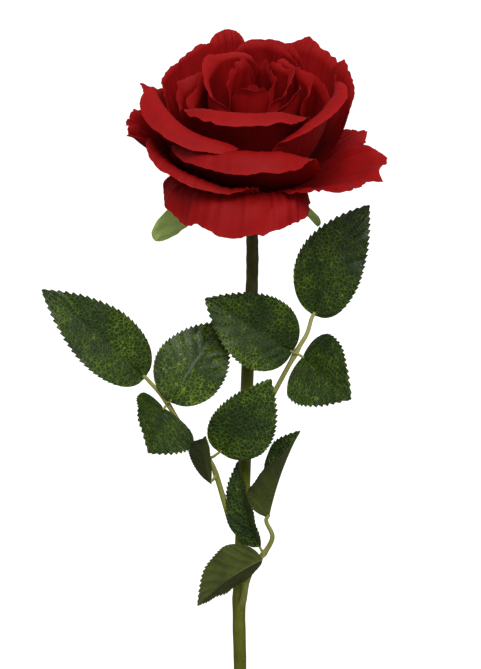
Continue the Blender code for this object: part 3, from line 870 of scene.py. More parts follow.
    def shoot(self) -> bpy.types.NodeTree:
        """A round shoot along a line whose points carry girth, with blunt prickles set at random."""
        if "shoot" in self.built:
            return self.built["shoot"]
        w, source = self.start(
            "shoot",
            {
                "Sides": 20, "Prickles": 0, "Prickle Length": 0.0016, "Prickle Radius": 0.0009,
                "First": 0.45, "Last": 0.9, "Seat": 0.0022, "Seed": 5,
            },
        )
        size = source.outputs
        line = w.node("GeometryNodeMeshToCurve", {0: size["Geometry"]}).outputs[0]
        girth = w.node("GeometryNodeInputNamedAttribute", {"Name": "girth"}, data_type="FLOAT").outputs[0]
        ring = w.node(
            "GeometryNodeCurvePrimitiveCircle", {"Resolution": size["Sides"], "Radius": 1.0},
        ).outputs[0]
        skin = w.node(
            "GeometryNodeCurveToMesh",
            {"Curve": line, "Profile Curve": ring, "Scale": girth, "Fill Caps": True},
        ).outputs[0]
        stretch = w.node(
            "GeometryNodeTrimCurve", {0: line, 2: size["First"], 3: size["Last"]}, mode="FACTOR",
        ).outputs[0]
        spots = w.node(
            "GeometryNodeCurveToPoints", {"Curve": stretch, "Count": size["Prickles"]}, mode="COUNT",
        )
        turn = w.node(
            "FunctionNodeRandomValue", {2: 0.0, 3: 2 * math.pi, "Seed": size["Seed"]}, data_type="FLOAT",
        ).outputs[1]
        slide = w.node(
            "FunctionNodeRandomValue", {2: -0.006, 3: 0.006, "Seed": w.plus(size["Seed"], 1.0)},
            data_type="FLOAT",
        ).outputs[1]
        growth = w.node(
            "FunctionNodeRandomValue", {2: 0.6, 3: 1.15, "Seed": w.plus(size["Seed"], 2.0)},
            data_type="FLOAT",
        ).outputs[1]
        tangent = spots.outputs["Tangent"]
        out = w.node(
            "ShaderNodeVectorRotate", {"Vector": spots.outputs["Normal"], "Axis": tangent, "Angle": turn},
            rotation_type="AXIS_ANGLE",
        ).outputs[0]
        lean = w.node("ShaderNodeVectorMath", {0: tangent, "Scale": -0.35}, operation="SCALE").outputs[0]
        lean = w.node("ShaderNodeVectorMath", {0: out, 1: lean}, operation="ADD").outputs[0]
        away = w.node("ShaderNodeVectorMath", {0: out, "Scale": size["Seat"]}, operation="SCALE").outputs[0]
        shift = w.node("ShaderNodeVectorMath", {0: tangent, "Scale": slide}, operation="SCALE").outputs[0]
        away = w.node("ShaderNodeVectorMath", {0: away, 1: shift}, operation="ADD").outputs[0]
        seated = w.node(
            "GeometryNodeSetPosition", {"Geometry": spots.outputs["Points"], "Offset": away},
        ).outputs[0]
        way = w.node("FunctionNodeAlignRotationToVector", {"Vector": lean}, axis="Z").outputs[0]
        thorn = w.node(
            "GeometryNodeMeshCone",
            {
                "Vertices": 8, "Side Segments": 2, "Radius Top": 0.0001,
                "Radius Bottom": size["Prickle Radius"], "Depth": size["Prickle Length"],
            },
        ).outputs[0]
        wanted = w.math("GREATER_THAN", size["Prickles"], 0.5)
        thorns = w.node(
            "GeometryNodeInstanceOnPoints",
            {"Points": seated, "Instance": thorn, "Rotation": way, "Scale": growth, "Selection": wanted},
        ).outputs[0]
        both = w.node("GeometryNodeJoinGeometry")
        w.feed(both.inputs[0], thorns)
        w.feed(both.inputs[0], skin)
        return self.close(w, source, both.outputs[0])

    def grow(
        self, name: str, tree: bpy.types.NodeTree, mesh: bpy.types.Mesh, finish: bpy.types.Material,
        **sizes: Union[float, int],
    ) -> bpy.types.Object:
        """Runs a tree on a mesh and keeps the result as a plain mesh.

        Args:
            name: the object's name.
            tree: the tree to run.
            mesh: the shape that goes in.
            finish: the material that comes out on it.
            sizes: values for the tree's inputs, with _ for each space in their names.

        Returns:
            The object, with no modifier.
        """
        carrier = bpy.data.objects.new(name + "_carrier", mesh)
        bpy.context.scene.collection.objects.link(carrier)
        modifier = carrier.modifiers.new(tree.name, "NODES")
        modifier.node_group = tree
        given = {key.replace("_", " "): value for key, value in sizes.items()} | {"Finish": finish}
        for item in tree.interface.items_tree:
            if item.item_type == "SOCKET" and item.in_out == "INPUT" and item.name in given:
                modifier[item.identifier] = given[item.name]
        graph = bpy.context.evaluated_depsgraph_get()
        made = bpy.data.meshes.new_from_object(carrier.evaluated_get(graph), depsgraph=graph)
        carrier.modifiers.clear()
        bpy.data.objects.remove(carrier)
        made.name = name
        if signed_volume(made) < 0:
            made.flip_normals()
        made.set_sharp_from_angle(angle=48 * DEG)
        return dressed(name, made, [finish])


def signed_volume(mesh: bpy.types.Mesh) -> float:
    """Measures a closed mesh: the result is negative where its faces point inwards."""
    mesh.calc_loop_triangles()
    places = np.empty(len(mesh.vertices) * 3, np.float32)
    mesh.vertices.foreach_get("co", places)
    corners = np.empty(len(mesh.loop_triangles) * 3, np.int32)
    mesh.loop_triangles.foreach_get("vertices", corners)
    a, b, c = np.moveaxis(places.reshape(-1, 3).astype(float)[corners.reshape(-1, 3)], 1, 0)
    return float((np.cross(a, b) * c).sum() / 6)


def line_mesh(name: str, lines: Sequence[Tuple[Array, Array]]) -> bpy.types.Mesh:
    """Makes a mesh of edges from lines of points.

    Args:
        name: the mesh's name.
        lines: for each line its points, count x 3, and the girth at each.

    Returns:
        The mesh, whose points carry their girth.
    """
    places, edges, girths = [], [], []
    for points, girth in lines:
        first = len(places)
        places += [tuple(p) for p in points]
        edges += [(first + k, first + k + 1) for k in range(len(points) - 1)]
        girths += list(girth)
    mesh = bpy.data.meshes.new(name)
    mesh.from_pydata(places, edges, [])
    mesh.attributes.new("girth", "FLOAT", "POINT").data.foreach_set("value", np.array(girths, np.float32))
    return mesh


def settle(piece: bpy.types.Object, slot: str, *nodes: str) -> bpy.types.Object:
    """Hands a finished piece to the frame, and reports how it lies against its solids.

    Args:
        piece: the piece.
        slot: the name of a material slot; not used.
        nodes: the solids that it stands for.

    Returns:
        The piece.
    """
    corners = [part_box(node) for node in nodes]
    low = np.min([np.array(c[0]) for c in corners], axis=0)
    high = np.max([np.array(c[1]) for c in corners], axis=0)
    places = np.empty(len(piece.data.vertices) * 3, np.float32)
    piece.data.vertices.foreach_get("co", places)
    places = places.reshape(-1, 3)
    apart = max(np.abs(places.min(0) - low).max(), np.abs(places.max(0) - high).max())
    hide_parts(*nodes)
    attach(piece, "root")
    LOG.info(
        "%s: %d faces, box within %.2f mm of its solids", piece.name, len(piece.data.polygons),
        apart * 1000,
    )
    return piece


# ------------------------------------------------------------------------------------ vase and stem
@dataclass
class BudVase:
    """The glazed bud vase, turned about Z on its foot."""

    height: float
    wall: float = 3.2 * MM
    floor: float = 8 * MM
    foot_radius: float = 27 * MM
    belly_radius: float = 37 * MM
    belly_height: float = 50 * MM
    neck_radius: float = 12.2 * MM
    neck_height: float = 150 * MM
    lip_radius: float = 16 * MM
    bare_foot: float = 2.2 * MM
    glaze: Glaze = field(default_factory=Glaze)

    def build(self, growth: Growth) -> bpy.types.Object:
        """Builds and glazes the vase, with the trees in growth."""
        tree, empty = growth.lathe(), bpy.data.meshes.new("bud_vase_seed")
        made = growth.grow(
            "bud_vase", tree, empty, self.glaze.material(self.bare_foot),
            Height=self.height, Wall=self.wall, Floor=self.floor, Foot_Radius=self.foot_radius,
            Belly_Radius=self.belly_radius, Belly_Height=self.belly_height, Neck_Radius=self.neck_radius,
            Neck_Height=self.neck_height, Lip_Radius=self.lip_radius,
        )
        return settle(made, "vase_glaze", "vase")


@dataclass
class Seat:
    """Where the flower sits: its own frame has Z along its axis and -Y to its front.

    lip is the height of the vase's lip, spot is in millimetres from the lip's centre, and the tilt
    leans the flower forwards.
    """

    lip: float
    spot: Spot = (5.0, -17.5, 220.3)
    tilt: float = 28 * DEG
    hip_length: float = 12 * MM
    hip_top: float = -3 * MM
    dome_radius: float = 7.5 * MM
    dome_rise: float = 7 * MM

    def above_lip(self, spots: Sequence[Spot]) -> Array:
        """Turns places in millimetres from the lip's centre into metres in the object's frame."""
        return np.array([list(s) for s in spots], float) * MM + (0, 0, self.lip)

    def placed(self, points: Array) -> Array:
        """Moves points from the flower's frame into the object's frame."""
        turn = np.array(Matrix.Rotation(self.tilt, 3, "X"))
        return points @ turn.T + self.above_lip([self.spot])[0]

    def on_axis(self, height: float) -> Array:
        """A place on the flower's axis."""
        return self.placed(np.array([0, 0, height]))


@dataclass
class RoseStem:
    """The stem, from the vase's floor up to the hip, with a swelling at each leaf and a few prickles."""

    seat: Seat
    vase: BudVase
    foot_radius: float = 2.98 * MM
    top_radius: float = 2.62 * MM
    gap: float = 0.3 * MM
    points: int = 240
    route: Tuple[Spot, ...] = (
        (-0.6, -7.4, 38), (1.3, -8.0, 83), (3.0, -8.2, 138), (4.8, -8.0, 173), (5.2, -7.8, 190),
    )
    leaf_heights: Tuple[float, ...] = (38.5, 72.5, 105)
    prickles: int = 6
    skin: StemSkin = field(default_factory=StemSkin)

    def line(self) -> Tuple[Array, Array]:
        """Returns the stem's centre line and its girth at each point."""
        reach = self.vase.neck_radius - self.vase.wall - self.foot_radius - self.gap
        foot = np.array([0, -1.5 * MM, self.vase.floor + self.gap])
        throat = np.array([0, -reach, self.vase.neck_height])
        over = np.array([-0.2 * MM, -reach - 1.2 * MM, self.seat.lip + 7 * MM])
        hip_foot = self.seat.hip_top - self.seat.hip_length - 2 * self.gap
        ends = [self.seat.on_axis(hip_foot - 5 * MM), self.seat.on_axis(hip_foot + 1.4 * MM)]
        way = [foot, (foot + throat) / 2, throat, over, *self.seat.above_lip(self.route), *ends]
        line = smooth_line(way, self.points)
        girth = np.linspace(self.foot_radius, self.top_radius, self.points)
        for height in self.leaf_heights:
            girth = girth + 0.28 * MM * np.exp(
                -(((line[:, 2] - self.seat.lip - height * MM) / (3.2 * MM)) ** 2)
            )
        return line, girth + 0.05 * MM * Ripple(7, 9, 40).at(np.linspace(0, 1, self.points))

    def beside(self, height: float, turn: float, radius: float) -> Tuple[Array, Array]:
        """Finds where a stalk leaves the stem.

        Args:
            height: its height over the lip.
            turn: the side it leaves on, 0 towards the front and growing to the right.
            radius: the stalk's radius there.

        Returns:
            The place on the stem's middle a little lower, and the place just clear of its skin.
        """
        line, girth = self.line()
        middle = [
            np.interp(self.seat.lip + height + drop, line[:, 2], line[:, k]) for drop in (0, -4.5 * MM)
            for k in range(3)
        ]
        middle, lower = np.array(middle[:3]), np.array(middle[3:])
        thick = np.interp(self.seat.lip + height, line[:, 2], girth)
        way = np.array([math.sin(turn), -math.cos(turn), 0])
        return lower + way * 0.6 * MM, middle + way * ((thick + radius) * 1.03 + self.gap)

    def build(self, growth: Growth) -> bpy.types.Object:
        """Builds the stem and colours it from the lip up to the hip."""
        line, girth = self.line()
        look = self.skin.material("stem_skin", self.seat.lip, line[-1, 2] - 14 * MM)
        made = growth.grow(
            "rose_stem", growth.shoot(), line_mesh("stem_line", [(line, girth)]), look,
            Sides=24, Prickles=self.prickles, First=0.42, Last=0.86, Seat=2.75 * MM, Prickle_Length=1.5 * MM,
            Prickle_Radius=0.8 * MM, Seed=11,
        )
        return settle(made, "stem_green", "stem")


# ------------------------------------------------------------------------------------ leaves
@dataclass
class Leaflet:
    """One leaflet's blade. Places are in millimetres from the centre of the vase's lip.

    It runs from base to tip. face is the way its upper side looks at the base, and twist turns that
    by the tip. fold raises both halves from the midrib, curl bends the tip backwards, and sway bows
    the midrib sideways. Fold, curl and twist are in degrees, and sway is in millimetres. tooth, quilt,
    groove and wave are how far the margin's teeth, the swellings between the veins, the sunk midrib
    and the edge's waves stand out or lie in, in metres.
    """

    name: str
    base: Spot
    tip: Spot
    face: Spot
    half_width: float
    fold: float = 12
    curl: float = 15
    twist: float = 0
    sway: float = 0
    columns: int = 32
    rows: int = 144
    teeth: int = 22
    thickness: float = 0.36 * MM
    tooth: float = 1.0 * MM
    quilt: float = 0.42 * MM
    groove: float = 0.55 * MM
    groove_width: float = 0.7 * MM
    wave: float = 0.55 * MM

    def ends(self, seat: Seat) -> Tuple[Array, Array]:
        """Returns where its blade starts and the way that it runs."""
        base, tip = seat.above_lip([self.base, self.tip])
        return base, (tip - base) / np.linalg.norm(tip - base)

    def outline(self, t: Array) -> Array:
        """The blade's half width in metres at each place along it, from 0 at its base to 1 at its tip."""
        belly = np.sin(math.pi * np.minimum(t, 0.998) ** 0.72) ** (0.68 + 0.2 * t * t)
        return self.half_width * MM * (0.07 - 0.06 * t + 0.93 * belly)

    def sheet(self, seat: Seat) -> Sheet:
        """Lays out the blade: toothed margin, sunk midrib and veins, and a gently waved edge."""
        base, ahead = self.ends(seat)
        chord = seat.above_lip([self.tip])[0] - base
        long = np.linalg.norm(chord)
        face = np.array(self.face, float)
        face = face - face @ ahead * ahead
        face /= np.linalg.norm(face)
        t = np.linspace(0, 1, self.rows)[:, None]
        crowding = 0.94
        u = np.sin(np.linspace(-1, 1, self.columns + 1) * math.pi / 2 * crowding)[None, :]
        u = u / math.sin(math.pi / 2 * crowding)
        out = np.abs(u)
        turn = self.twist * DEG * t
        turned = np.cos(turn)[..., None] * face + np.sin(turn)[..., None] * np.cross(ahead, face)
        across = np.cross(ahead, turned)
        random = np.random.default_rng(seed_of(self.name))
        half = self.outline(t)
        step = t * self.teeth + np.where(u < 0, 0.37, 0.0) + 0.12 * np.sin(9 * t + random.uniform(0, 6))
        saw = np.mod(step, 1)
        saw = np.where(saw < 0.8, saw / 0.8, (1 - saw) / 0.2)
        size = self.tooth * smoothstep(0.04, 0.2, t) * (1 - 0.5 * smoothstep(0.8, 1, t))
        reach = half * out + (saw - 0.55) * size * out**9
        forward = (saw - 0.3) * size * 1.1 * out**9
        bow = long * math.tan(self.curl * DEG / 2) * 2 * t * (1 - t)
        fold = self.fold * DEG
        crease = np.sqrt(out**2 + 0.05**2) - 0.05
        aside = (self.sway * MM * 4 * t * (1 - t))[..., None]
        spine = base + chord * t[..., None] + face * bow[..., None] + across * aside
        sideways = np.sign(u) * reach * math.cos(fold)
        lift = half * crease * math.sin(fold)
        start = (t - out * (VEIN_SWEEP - VEIN_EASE * out)) * VEIN_PAIRS + np.sign(u) * VEIN_STAGGER
        apart = np.abs(np.mod(start, 1) - 0.5)
        swell = smoothstep(0.0, 0.3, apart) - 0.6
        quilt = self.quilt * swell * smoothstep(0.04, 0.2, out) * (1 - out**6) * smoothstep(0, 0.1, t)
        groove = -self.groove * np.exp(-((half * u / self.groove_width) ** 2)) * (1 - 0.8 * t)
        phase = random.uniform(0, 6, 2)[(u > 0).astype(int)]
        turns = 2.6 + 0.5 * np.sign(u)
        wave = self.wave * np.sin(2 * math.pi * turns * t + phase) * out**3 * np.sin(math.pi * t)
        height = lift + quilt + groove + wave
        points = spine + across * sideways[..., None] + turned * height[..., None]
        points = points + ahead * forward[..., None]
        flat = np.stack([np.sign(u) * reach * 1000, t * long * 1000 + forward * 1000], axis=-1)
        thickness = self.thickness * (1 - 0.55 * out**5) * np.ones_like(t)
        return Sheet(points, flat, thickness)


@dataclass
class Leaf:
    """One leaf: a stalk that leaves the stem, and the leaflets that it carries.

    The stalk leaves at root_height over the lip, on the side of turn, goes through points and ends at
    the base of the first leaflet. Lengths are in millimetres.
    """

    name: str
    root_height: float
    turn: float
    points: Tuple[Spot, ...]
    root_radius: float
    leaflets: Tuple[Leaflet, ...]
    end_radius: float = 0.8
    side_radius: float = 0.6
    set_in: float = 1.2

    def way(self, leaflet: Leaflet, seat: Seat) -> Tuple[Array, Array]:
        """The end of the stalk that carries a leaflet, a little way into its blade, and its heading."""
        base, ahead = leaflet.ends(seat)
        return base + ahead * self.set_in * MM, ahead

    def lines(self, stem: RoseStem) -> List[Tuple[Array, Array]]:
        """Lays out the leaf's stalk and its side stalks, each with its girth.

        Args:
            stem: the stem that it leaves.

        Returns:
            The lines, the leaf's own stalk first.
        """
        seat = stem.seat
        lower, root = stem.beside(self.root_height * MM, self.turn * DEG, self.root_radius * MM)
        end, ahead = self.way(self.leaflets[0], seat)
        main = smooth_line([lower, root, *seat.above_lip(self.points), end - ahead * 3.2 * MM, end], 70)
        share = np.linspace(0, 1, len(main))
        girth = (self.root_radius + (self.end_radius - self.root_radius) * share) * MM
        girth = girth * (1 + 0.35 * np.exp(-((share / 0.07) ** 2)))
        found = [(main, girth)]
        for leaflet in self.leaflets[1:]:
            end, ahead = self.way(leaflet, seat)
            near = int(np.argmin(np.linalg.norm(main[4:-4] - end, axis=1))) + 4
            bend = (main[near] + end - ahead * 2.4 * MM) / 2
            found.append(
                (
                    smooth_line([main[near], bend, end], 14),
                    np.linspace(self.side_radius * 1.25, self.side_radius * 0.85, 14) * MM,
                )
            )
            girth += 0.16 * MM * np.exp(-(((np.arange(len(main)) - near) / 1.6) ** 2))
        return found

    def build(
        self, growth: Growth, stem: RoseStem, skin: bpy.types.Material, looks: Sequence[bpy.types.Material],
    ) -> List[bpy.types.Object]:
        """Builds the leaf's stalks as one piece and each of its blades.

        Args:
            growth: the trees that grow the stalks.
            stem: the stem that it leaves.
            skin: the stalks' material.
            looks: the blades' face and back.

        Returns:
            The finished pieces.
        """
        solids = ["stalk_" + self.name] + [
            leaflet.name.replace("leaflet", "side_stalk") for leaflet in self.leaflets[1:]
        ]
        stalks = growth.grow(
            "leaf_stalk_" + self.name, growth.shoot(), line_mesh("stalk_line", self.lines(stem)), skin,
            Sides=14,
        )
        made = [settle(stalks, "stem_green", *solids)]
        for leaflet in self.leaflets:
            blade = leaflet.sheet(stem.seat).piece(leaflet.name.replace("leaflet", "blade"), looks)
            made.append(settle(blade, "leaf_green", leaflet.name))
        return made


LEAVES = (
    Leaf(
        "left", 72.5, -80,
        (
            (-7.2, -11.2, 83), (-10.4, -14, 94), (-13.4, -17, 101.4), (-20.8, -19.4, 109.3),
            (-32.0, -23, 128),
        ), 1.4,
        (
            Leaflet("leaflet_left_end", (-41.4, -25.6, 139.2), (-85.3, -34, 178), (0.1, -1, 0.3), 15),
            Leaflet(
                "leaflet_left_outer", (-33.4, -25.8, 126), (-39.3, -45, 108.9), (0.69, -0.59, 0.43), 18,
                teeth=18,
            ),
            Leaflet("leaflet_left_inner", (-30.4, -26.2, 128.6), (-7.3, -12, 162.1), (-0.2, -1, 0.1), 16.5),
            Leaflet(
                "leaflet_left_low_outer", (-13.0, -19.0, 92), (-16.1, -50, 115.6), (-0.42, 0.56, 0.71), 8.5,
                56,
            ),
            Leaflet(
                "leaflet_left_low_inner", (-8.8, -20.6, 105.6), (13.1, -26, 138.5), (0, -1, 0.1), 14.5,
                sway=2,
            ),
        ),
    ),
    Leaf(
        "right", 105, 30, (
            (9.3, -13.6, 119.9), (15.8, -15, 133.4), (25.0, -16.4, 150.5), (28.9, -16, 157.2),
        ), 1.3,
        (
            Leaflet(
                "leaflet_right_end", (31.8, -15.0, 165.4), (55.8, -12, 213), (0.1, -1, 0.1), 15.5, sway=-4,
            ),
            Leaflet("leaflet_right_inner", (22.6, -19.4, 149.6), (-15.3, -28, 173.6), (0.05, -1, 0.1), 17),
            Leaflet(
                "leaflet_right_outer", (27.0, -19.6, 147.6), (47.2, -45, 132.2), (-0.64, -0.68, 0.37), 17.5,
                teeth=18,
            ),
        ),
    ),
    Leaf(
        "low", 38.5, 20, ((2.8, -15.4, 48), (6.2, -18.4, 56), (11.0, -21, 62.3), (13.9, -23, 69)), 1.6,
        (
            Leaflet(
                "leaflet_low_end", (11.9, -24.6, 77.8), (25.6, -30, 116.4), (-0.8, 0.6, 0), 15.5, 35, 10,
                70,
            ),
            Leaflet("leaflet_low_back", (8.2, -16.8, 63.4), (-1.2, -13, 100.6), (-0.8, -0.7, 0), 10, 25),
            Leaflet(
                "leaflet_low_front", (9.4, -27.2, 59.9), (-18.5, -37, 41.2), (-0.36, 0.77, 0.53), 14.5, 22,
            ),
        ),
    ),
)


# ------------------------------------------------------------------------------------ the flower
def facing(turn: Union[float, Array]) -> Array:
    """The way a turn points across the flower's axis: 0 to the front, a quarter turn to the right."""
    return np.stack([np.sin(turn), -np.cos(turn), np.zeros_like(turn)], axis=-1)


@dataclass
class Sepal:
    """One sepal: the way it points, its length and half width in millimetres, how it bends and twists."""

    name: str
    turn: float
    length: float
    half_width: float
    base_lean: float
    tip_lean: float
    twist: float = 0
    rows: int = 64
    columns: int = 16
    thickness: float = 0.5 * MM

    def sheet(self, seat: Seat) -> Sheet:
        """Lays out the sepal, cupped along its length, with a soft uneven edge."""
        ahead, right = facing(self.turn * DEG), facing(self.turn * DEG + math.pi / 2)
        steps = 7
        place = ahead * (8.25 * MM) + (0, 0, seat.hip_top - 1.4 * MM)
        knots = [place]
        for i in range(steps):
            lean = (self.base_lean + (self.tip_lean - self.base_lean) * i / steps) * DEG
            place = place + self.length * MM / steps * (
                math.sin(lean) * ahead + np.array([0, 0, math.cos(lean)])
            )
            knots.append(place)
        knots = [knots[0] - ahead * 0.5 * MM, *knots[1:]]
        spine = smooth_line(knots, self.rows)[:, None, :]
        v = np.linspace(0, 1, self.rows)[:, None]
        u = np.linspace(-1, 1, self.columns + 1)[None, :]
        half = self.half_width * MM * (0.6 + 0.4 * np.sin(math.pi * v**1.3))
        half = half * np.sqrt(np.clip(1 - np.clip((v - 0.86) / 0.145, 0, 1) ** 2, 0.004, 1))
        fray = 0.03 * Ripple(seed_of(self.name), 2, 7).at(v, np.sign(u)) * smoothstep(0.1, 0.4, v)
        half = half * (1 + fray)
        heading = np.gradient(spine, axis=0)
        heading /= np.linalg.norm(heading, axis=2, keepdims=True)
        turn = (self.twist * DEG * smoothstep(0.05, 0.5, v))[..., None]
        up = np.cross(heading, np.broadcast_to(right, heading.shape))
        side = right * np.cos(turn) + up * np.sin(turn)
        points = spine + side * (half * u)[..., None]
        flat = np.stack([half * u * 1000, v * self.length + 0 * u], axis=-1)
        dents = 0.22 * MM * Ripple(seed_of(self.name) + 1, 1, 4).at(v, u) * smoothstep(0.05, 0.3, v)
        cup = 0.9 * MM * (u**2 - 0.35) * np.sin(math.pi * v) + dents
        return Sheet(points, flat, self.thickness * (1 - 0.4 * u**6) * np.ones_like(v)).lifted(-cup)


SEPALS = (
    Sepal("sepal_left", -76, 40, 7.6, 86, 152, 80),
    Sepal("sepal_front", -4, 19, 4.0, 94, 100),
    Sepal("sepal_right", 84, 26, 3.8, 88, 165, -50),
    Sepal("sepal_back_right", 150, 34, 4.2, 98, 150),
    Sepal("sepal_back_left", -145, 34, 4.2, 98, 150),
)


class Whorl(Enum):
    """The flower's rings of petals, from its heart outwards.

    Each value is how petals of that ring ruffle, in millimetres: the wave of the rim and its count,
    the rim's ragged edge, the blade's own buckles, and its fine pleats.
    """

    heart = (0.9, 2.5, 0.8, 0.35, 0.04)
    inner = (1.3, 2.5, 0.8, 0.6, 0.05)
    cup = (1.4, 2.5, 0.7, 0.7, 0.06)
    ring = (1.3, 2.5, 0.6, 0.8, 0.07)
    bowl = (1.1, 3.0, 0.6, 0.9, 0.10)
    low = (1.4, 3.5, 0.9, 1.0, 0.20)
    outer = (1.3, 4.0, 0.7, 1.1, 0.26)


@dataclass
class Petal:
    """One petal. Angles are in degrees and lengths in millimetres, in the flower's own frame.

    left, middle and right are places on its crest, each as its turn about the flower's axis, its
    distance from that axis and its height. A turn is 0 towards the front and grows to the right.
    Beyond the crest the petal rolls outwards through roll, over the length in rolled at the same
    three places. drop is the share of its length that its outer corners lose, ragged multiplies its
    ruffles, and each of its peaks is a pointed tip's height and its place across, from -1 to 1.
    """

    name: str
    left: Spot
    middle: Spot
    right: Spot
    base_lean: float
    crest_lean: float
    roll: float = 40
    rolled: Spot = (3, 4, 3)
    drop: float = 0.2
    ragged: float = 1.0
    peaks: Tuple[Tuple[float, float], ...] = ()

    def whorl(self) -> Whorl:
        """The ring that the petal stands in."""
        return Whorl[self.name.split("_")[1]]


PETALS = (
    Petal("petal_heart_front", (-85, 8.6, 48), (-5, 7.6, 50), (75, 8, 50), 12, -6, 20, ragged=0.6),
    Petal(
        "petal_heart_right", (40, 9.8, 48), (108, 8.6, 54), (182, 8.4, 53.5), 17, -6, 20, (3, 4, 3), 0.3,
        1.5, ((2.0, 0.35),),
    ),
    Petal(
        "petal_heart_left", (-185, 8.2, 55), (-125, 8.4, 54.5), (-60, 10.0, 46), 21, -4, 30, (3, 4, 3), 0.2,
        1.3, ((2.4, -0.5),),
    ),
    Petal(
        "petal_inner_right", (18, 13.5, 43), (88, 14.6, 51), (165, 14, 54), 28, -2, 40, (3, 4, 3), 0.1, 1.1,
        ((2.4, 0.2),),
    ),
    Petal(
        "petal_inner_left", (-190, 18.5, 52), (-112, 18.2, 53.5), (-38, 15.0, 43), 33, -4, 60, (4, 5, 4),
        0.1, 0.6, ((3.4, -0.05),),
    ),
    Petal(
        "petal_inner_front", (-20, 17.5, 41), (44, 17.8, 46), (100, 21.5, 51), 37, -2, 30, (3, 4, 3), 0.12,
        0.8, ((1.8, 0.5),),
    ),
    Petal(
        "petal_cup_right", (70, 22.5, 45), (112, 22, 49), (160, 21, 52), 40, 0, 45, (3, 4, 3), 0.1, 0.9,
        ((2.0, -0.2),),
    ),
    Petal(
        "petal_cup_left", (-150, 23.5, 47), (-104, 23.6, 42.5), (-58, 21.6, 36.5), 40, 4, 45, (3, 4, 3),
        0.1, 0.9, ((2.5, 0.3),),
    ),
    Petal(
        "petal_cup_back", (136, 26.5, 51), (168, 26, 54.5), (201, 25.5, 53), 42, 0, 35, (3, 4, 3), 0.08,
        0.4,
    ),
    Petal(
        "petal_ring_left", (-154, 30, 43), (-118, 30, 39.5), (-72, 28.5, 34), 48, 10, 40, (3, 5, 4), 0.1,
        0.9, ((2.5, 0.0),),
    ),
    Petal(
        "petal_cup_front", (-78, 32, 45), (-8, 25.4, 50.5), (60, 30, 46), 46, 2, 125, (6, 10.5, 7), 0.2,
        0.9,
    ),
    Petal(
        "petal_ring_right", (78, 31, 40), (110, 30.5, 41), (148, 30, 44), 50, 6, 35, (4, 5, 4), ragged=0.4,
    ),
    Petal("petal_ring_back", (138, 33, 48), (165, 32, 51), (196, 32, 50), 52, 4, 30, (4, 5, 4), 0.1, 0.4),
    Petal(
        "petal_ring_front_right", (9, 33, 37), (51, 33.5, 48), (98, 34.5, 51), 54, 6, 90, (2, 10, 8), 0.2,
        0.4,
    ),
    Petal(
        "petal_ring_front_left", (-95, 41.5, 50), (-42, 37, 45), (-4, 32.5, 37), 55, 6, 125, (9, 14, 2),
        0.2, 0.4,
    ),
    Petal(
        "petal_bowl_back_left", (183, 40, 48), (195, 42, 49.5), (208, 41, 45.5), 62, 12, 35, (4, 6, 5),
        0.08, 0.2,
    ),
    Petal(
        "petal_bowl_back_right", (118, 41.5, 40.5), (146, 43.5, 46.5), (172, 42, 39.5), 61, 16, 35,
        (5, 5, 5), 0.1, 0.6, ((2.6, 0.1), (1.6, -0.62)),
    ),
    Petal(
        "petal_bowl_front", (-64, 39.8, 33), (-6, 36.6, 38.5), (50, 39, 31), 58, 14, 128, (5, 14, 3), 0.2,
        0.8,
    ),
    Petal(
        "petal_bowl_left", (204, 42, 51.5), (230, 43, 43.5), (257, 40, 39.5), 70, 14, 30, (2, 2.5, 3), 0.03,
        0.8,
    ),
    Petal(
        "petal_bowl_right", (92, 40, 33.5), (108, 42.5, 42), (128, 43, 45), 64, 14, 30, (4, 5, 5), 0.12,
        0.5, ((3.0, 0.72),),
    ),
    Petal(
        "petal_low_left", (-74, 46.5, 34), (-35, 42.5, 28), (4, 40, 26), 71, 42, 84, (6, 7, 5), 0.15, 0.3,
    ),
    Petal(
        "petal_low_right", (21, 42, 24), (58, 54, 22), (86, 47, 25), 67, 66, 18, (4, 5, 3), 0.06, 1.1,
        ((3.5, -0.42), (3.5, 0.12), (4.0, 0.72)),
    ),
    Petal(
        "petal_outer_left", (-104, 47, 34), (-87, 48, 32), (-74, 46, 27), 84, 36, 40, (4, 6, 4), 0.25, 1.3,
    ),
    Petal(
        "petal_outer_back_right", (98, 43, 14), (107, 47, 17), (128, 43, 15), 92, 66, 20, (4, 4, 2), 0.3,
        0.4, ((3.5, 0.25),),
    ),
    Petal(
        "petal_outer_back_left", (-146, 40, 27), (-117, 47, 34), (-101, 43, 30), 88, 36, 20, (2, 3, 2), 0.2,
        0.3, ((6.0, 0.05),),
    ),
    Petal(
        "petal_outer_front", (-66, 34, 15), (-12, 33.5, 17.3), (40, 31.5, 15), 98, 46, 104, (14, 23, 15),
        0.12, 1.3, ((0.8, 0.05), (1.6, -0.5)),
    ),
)


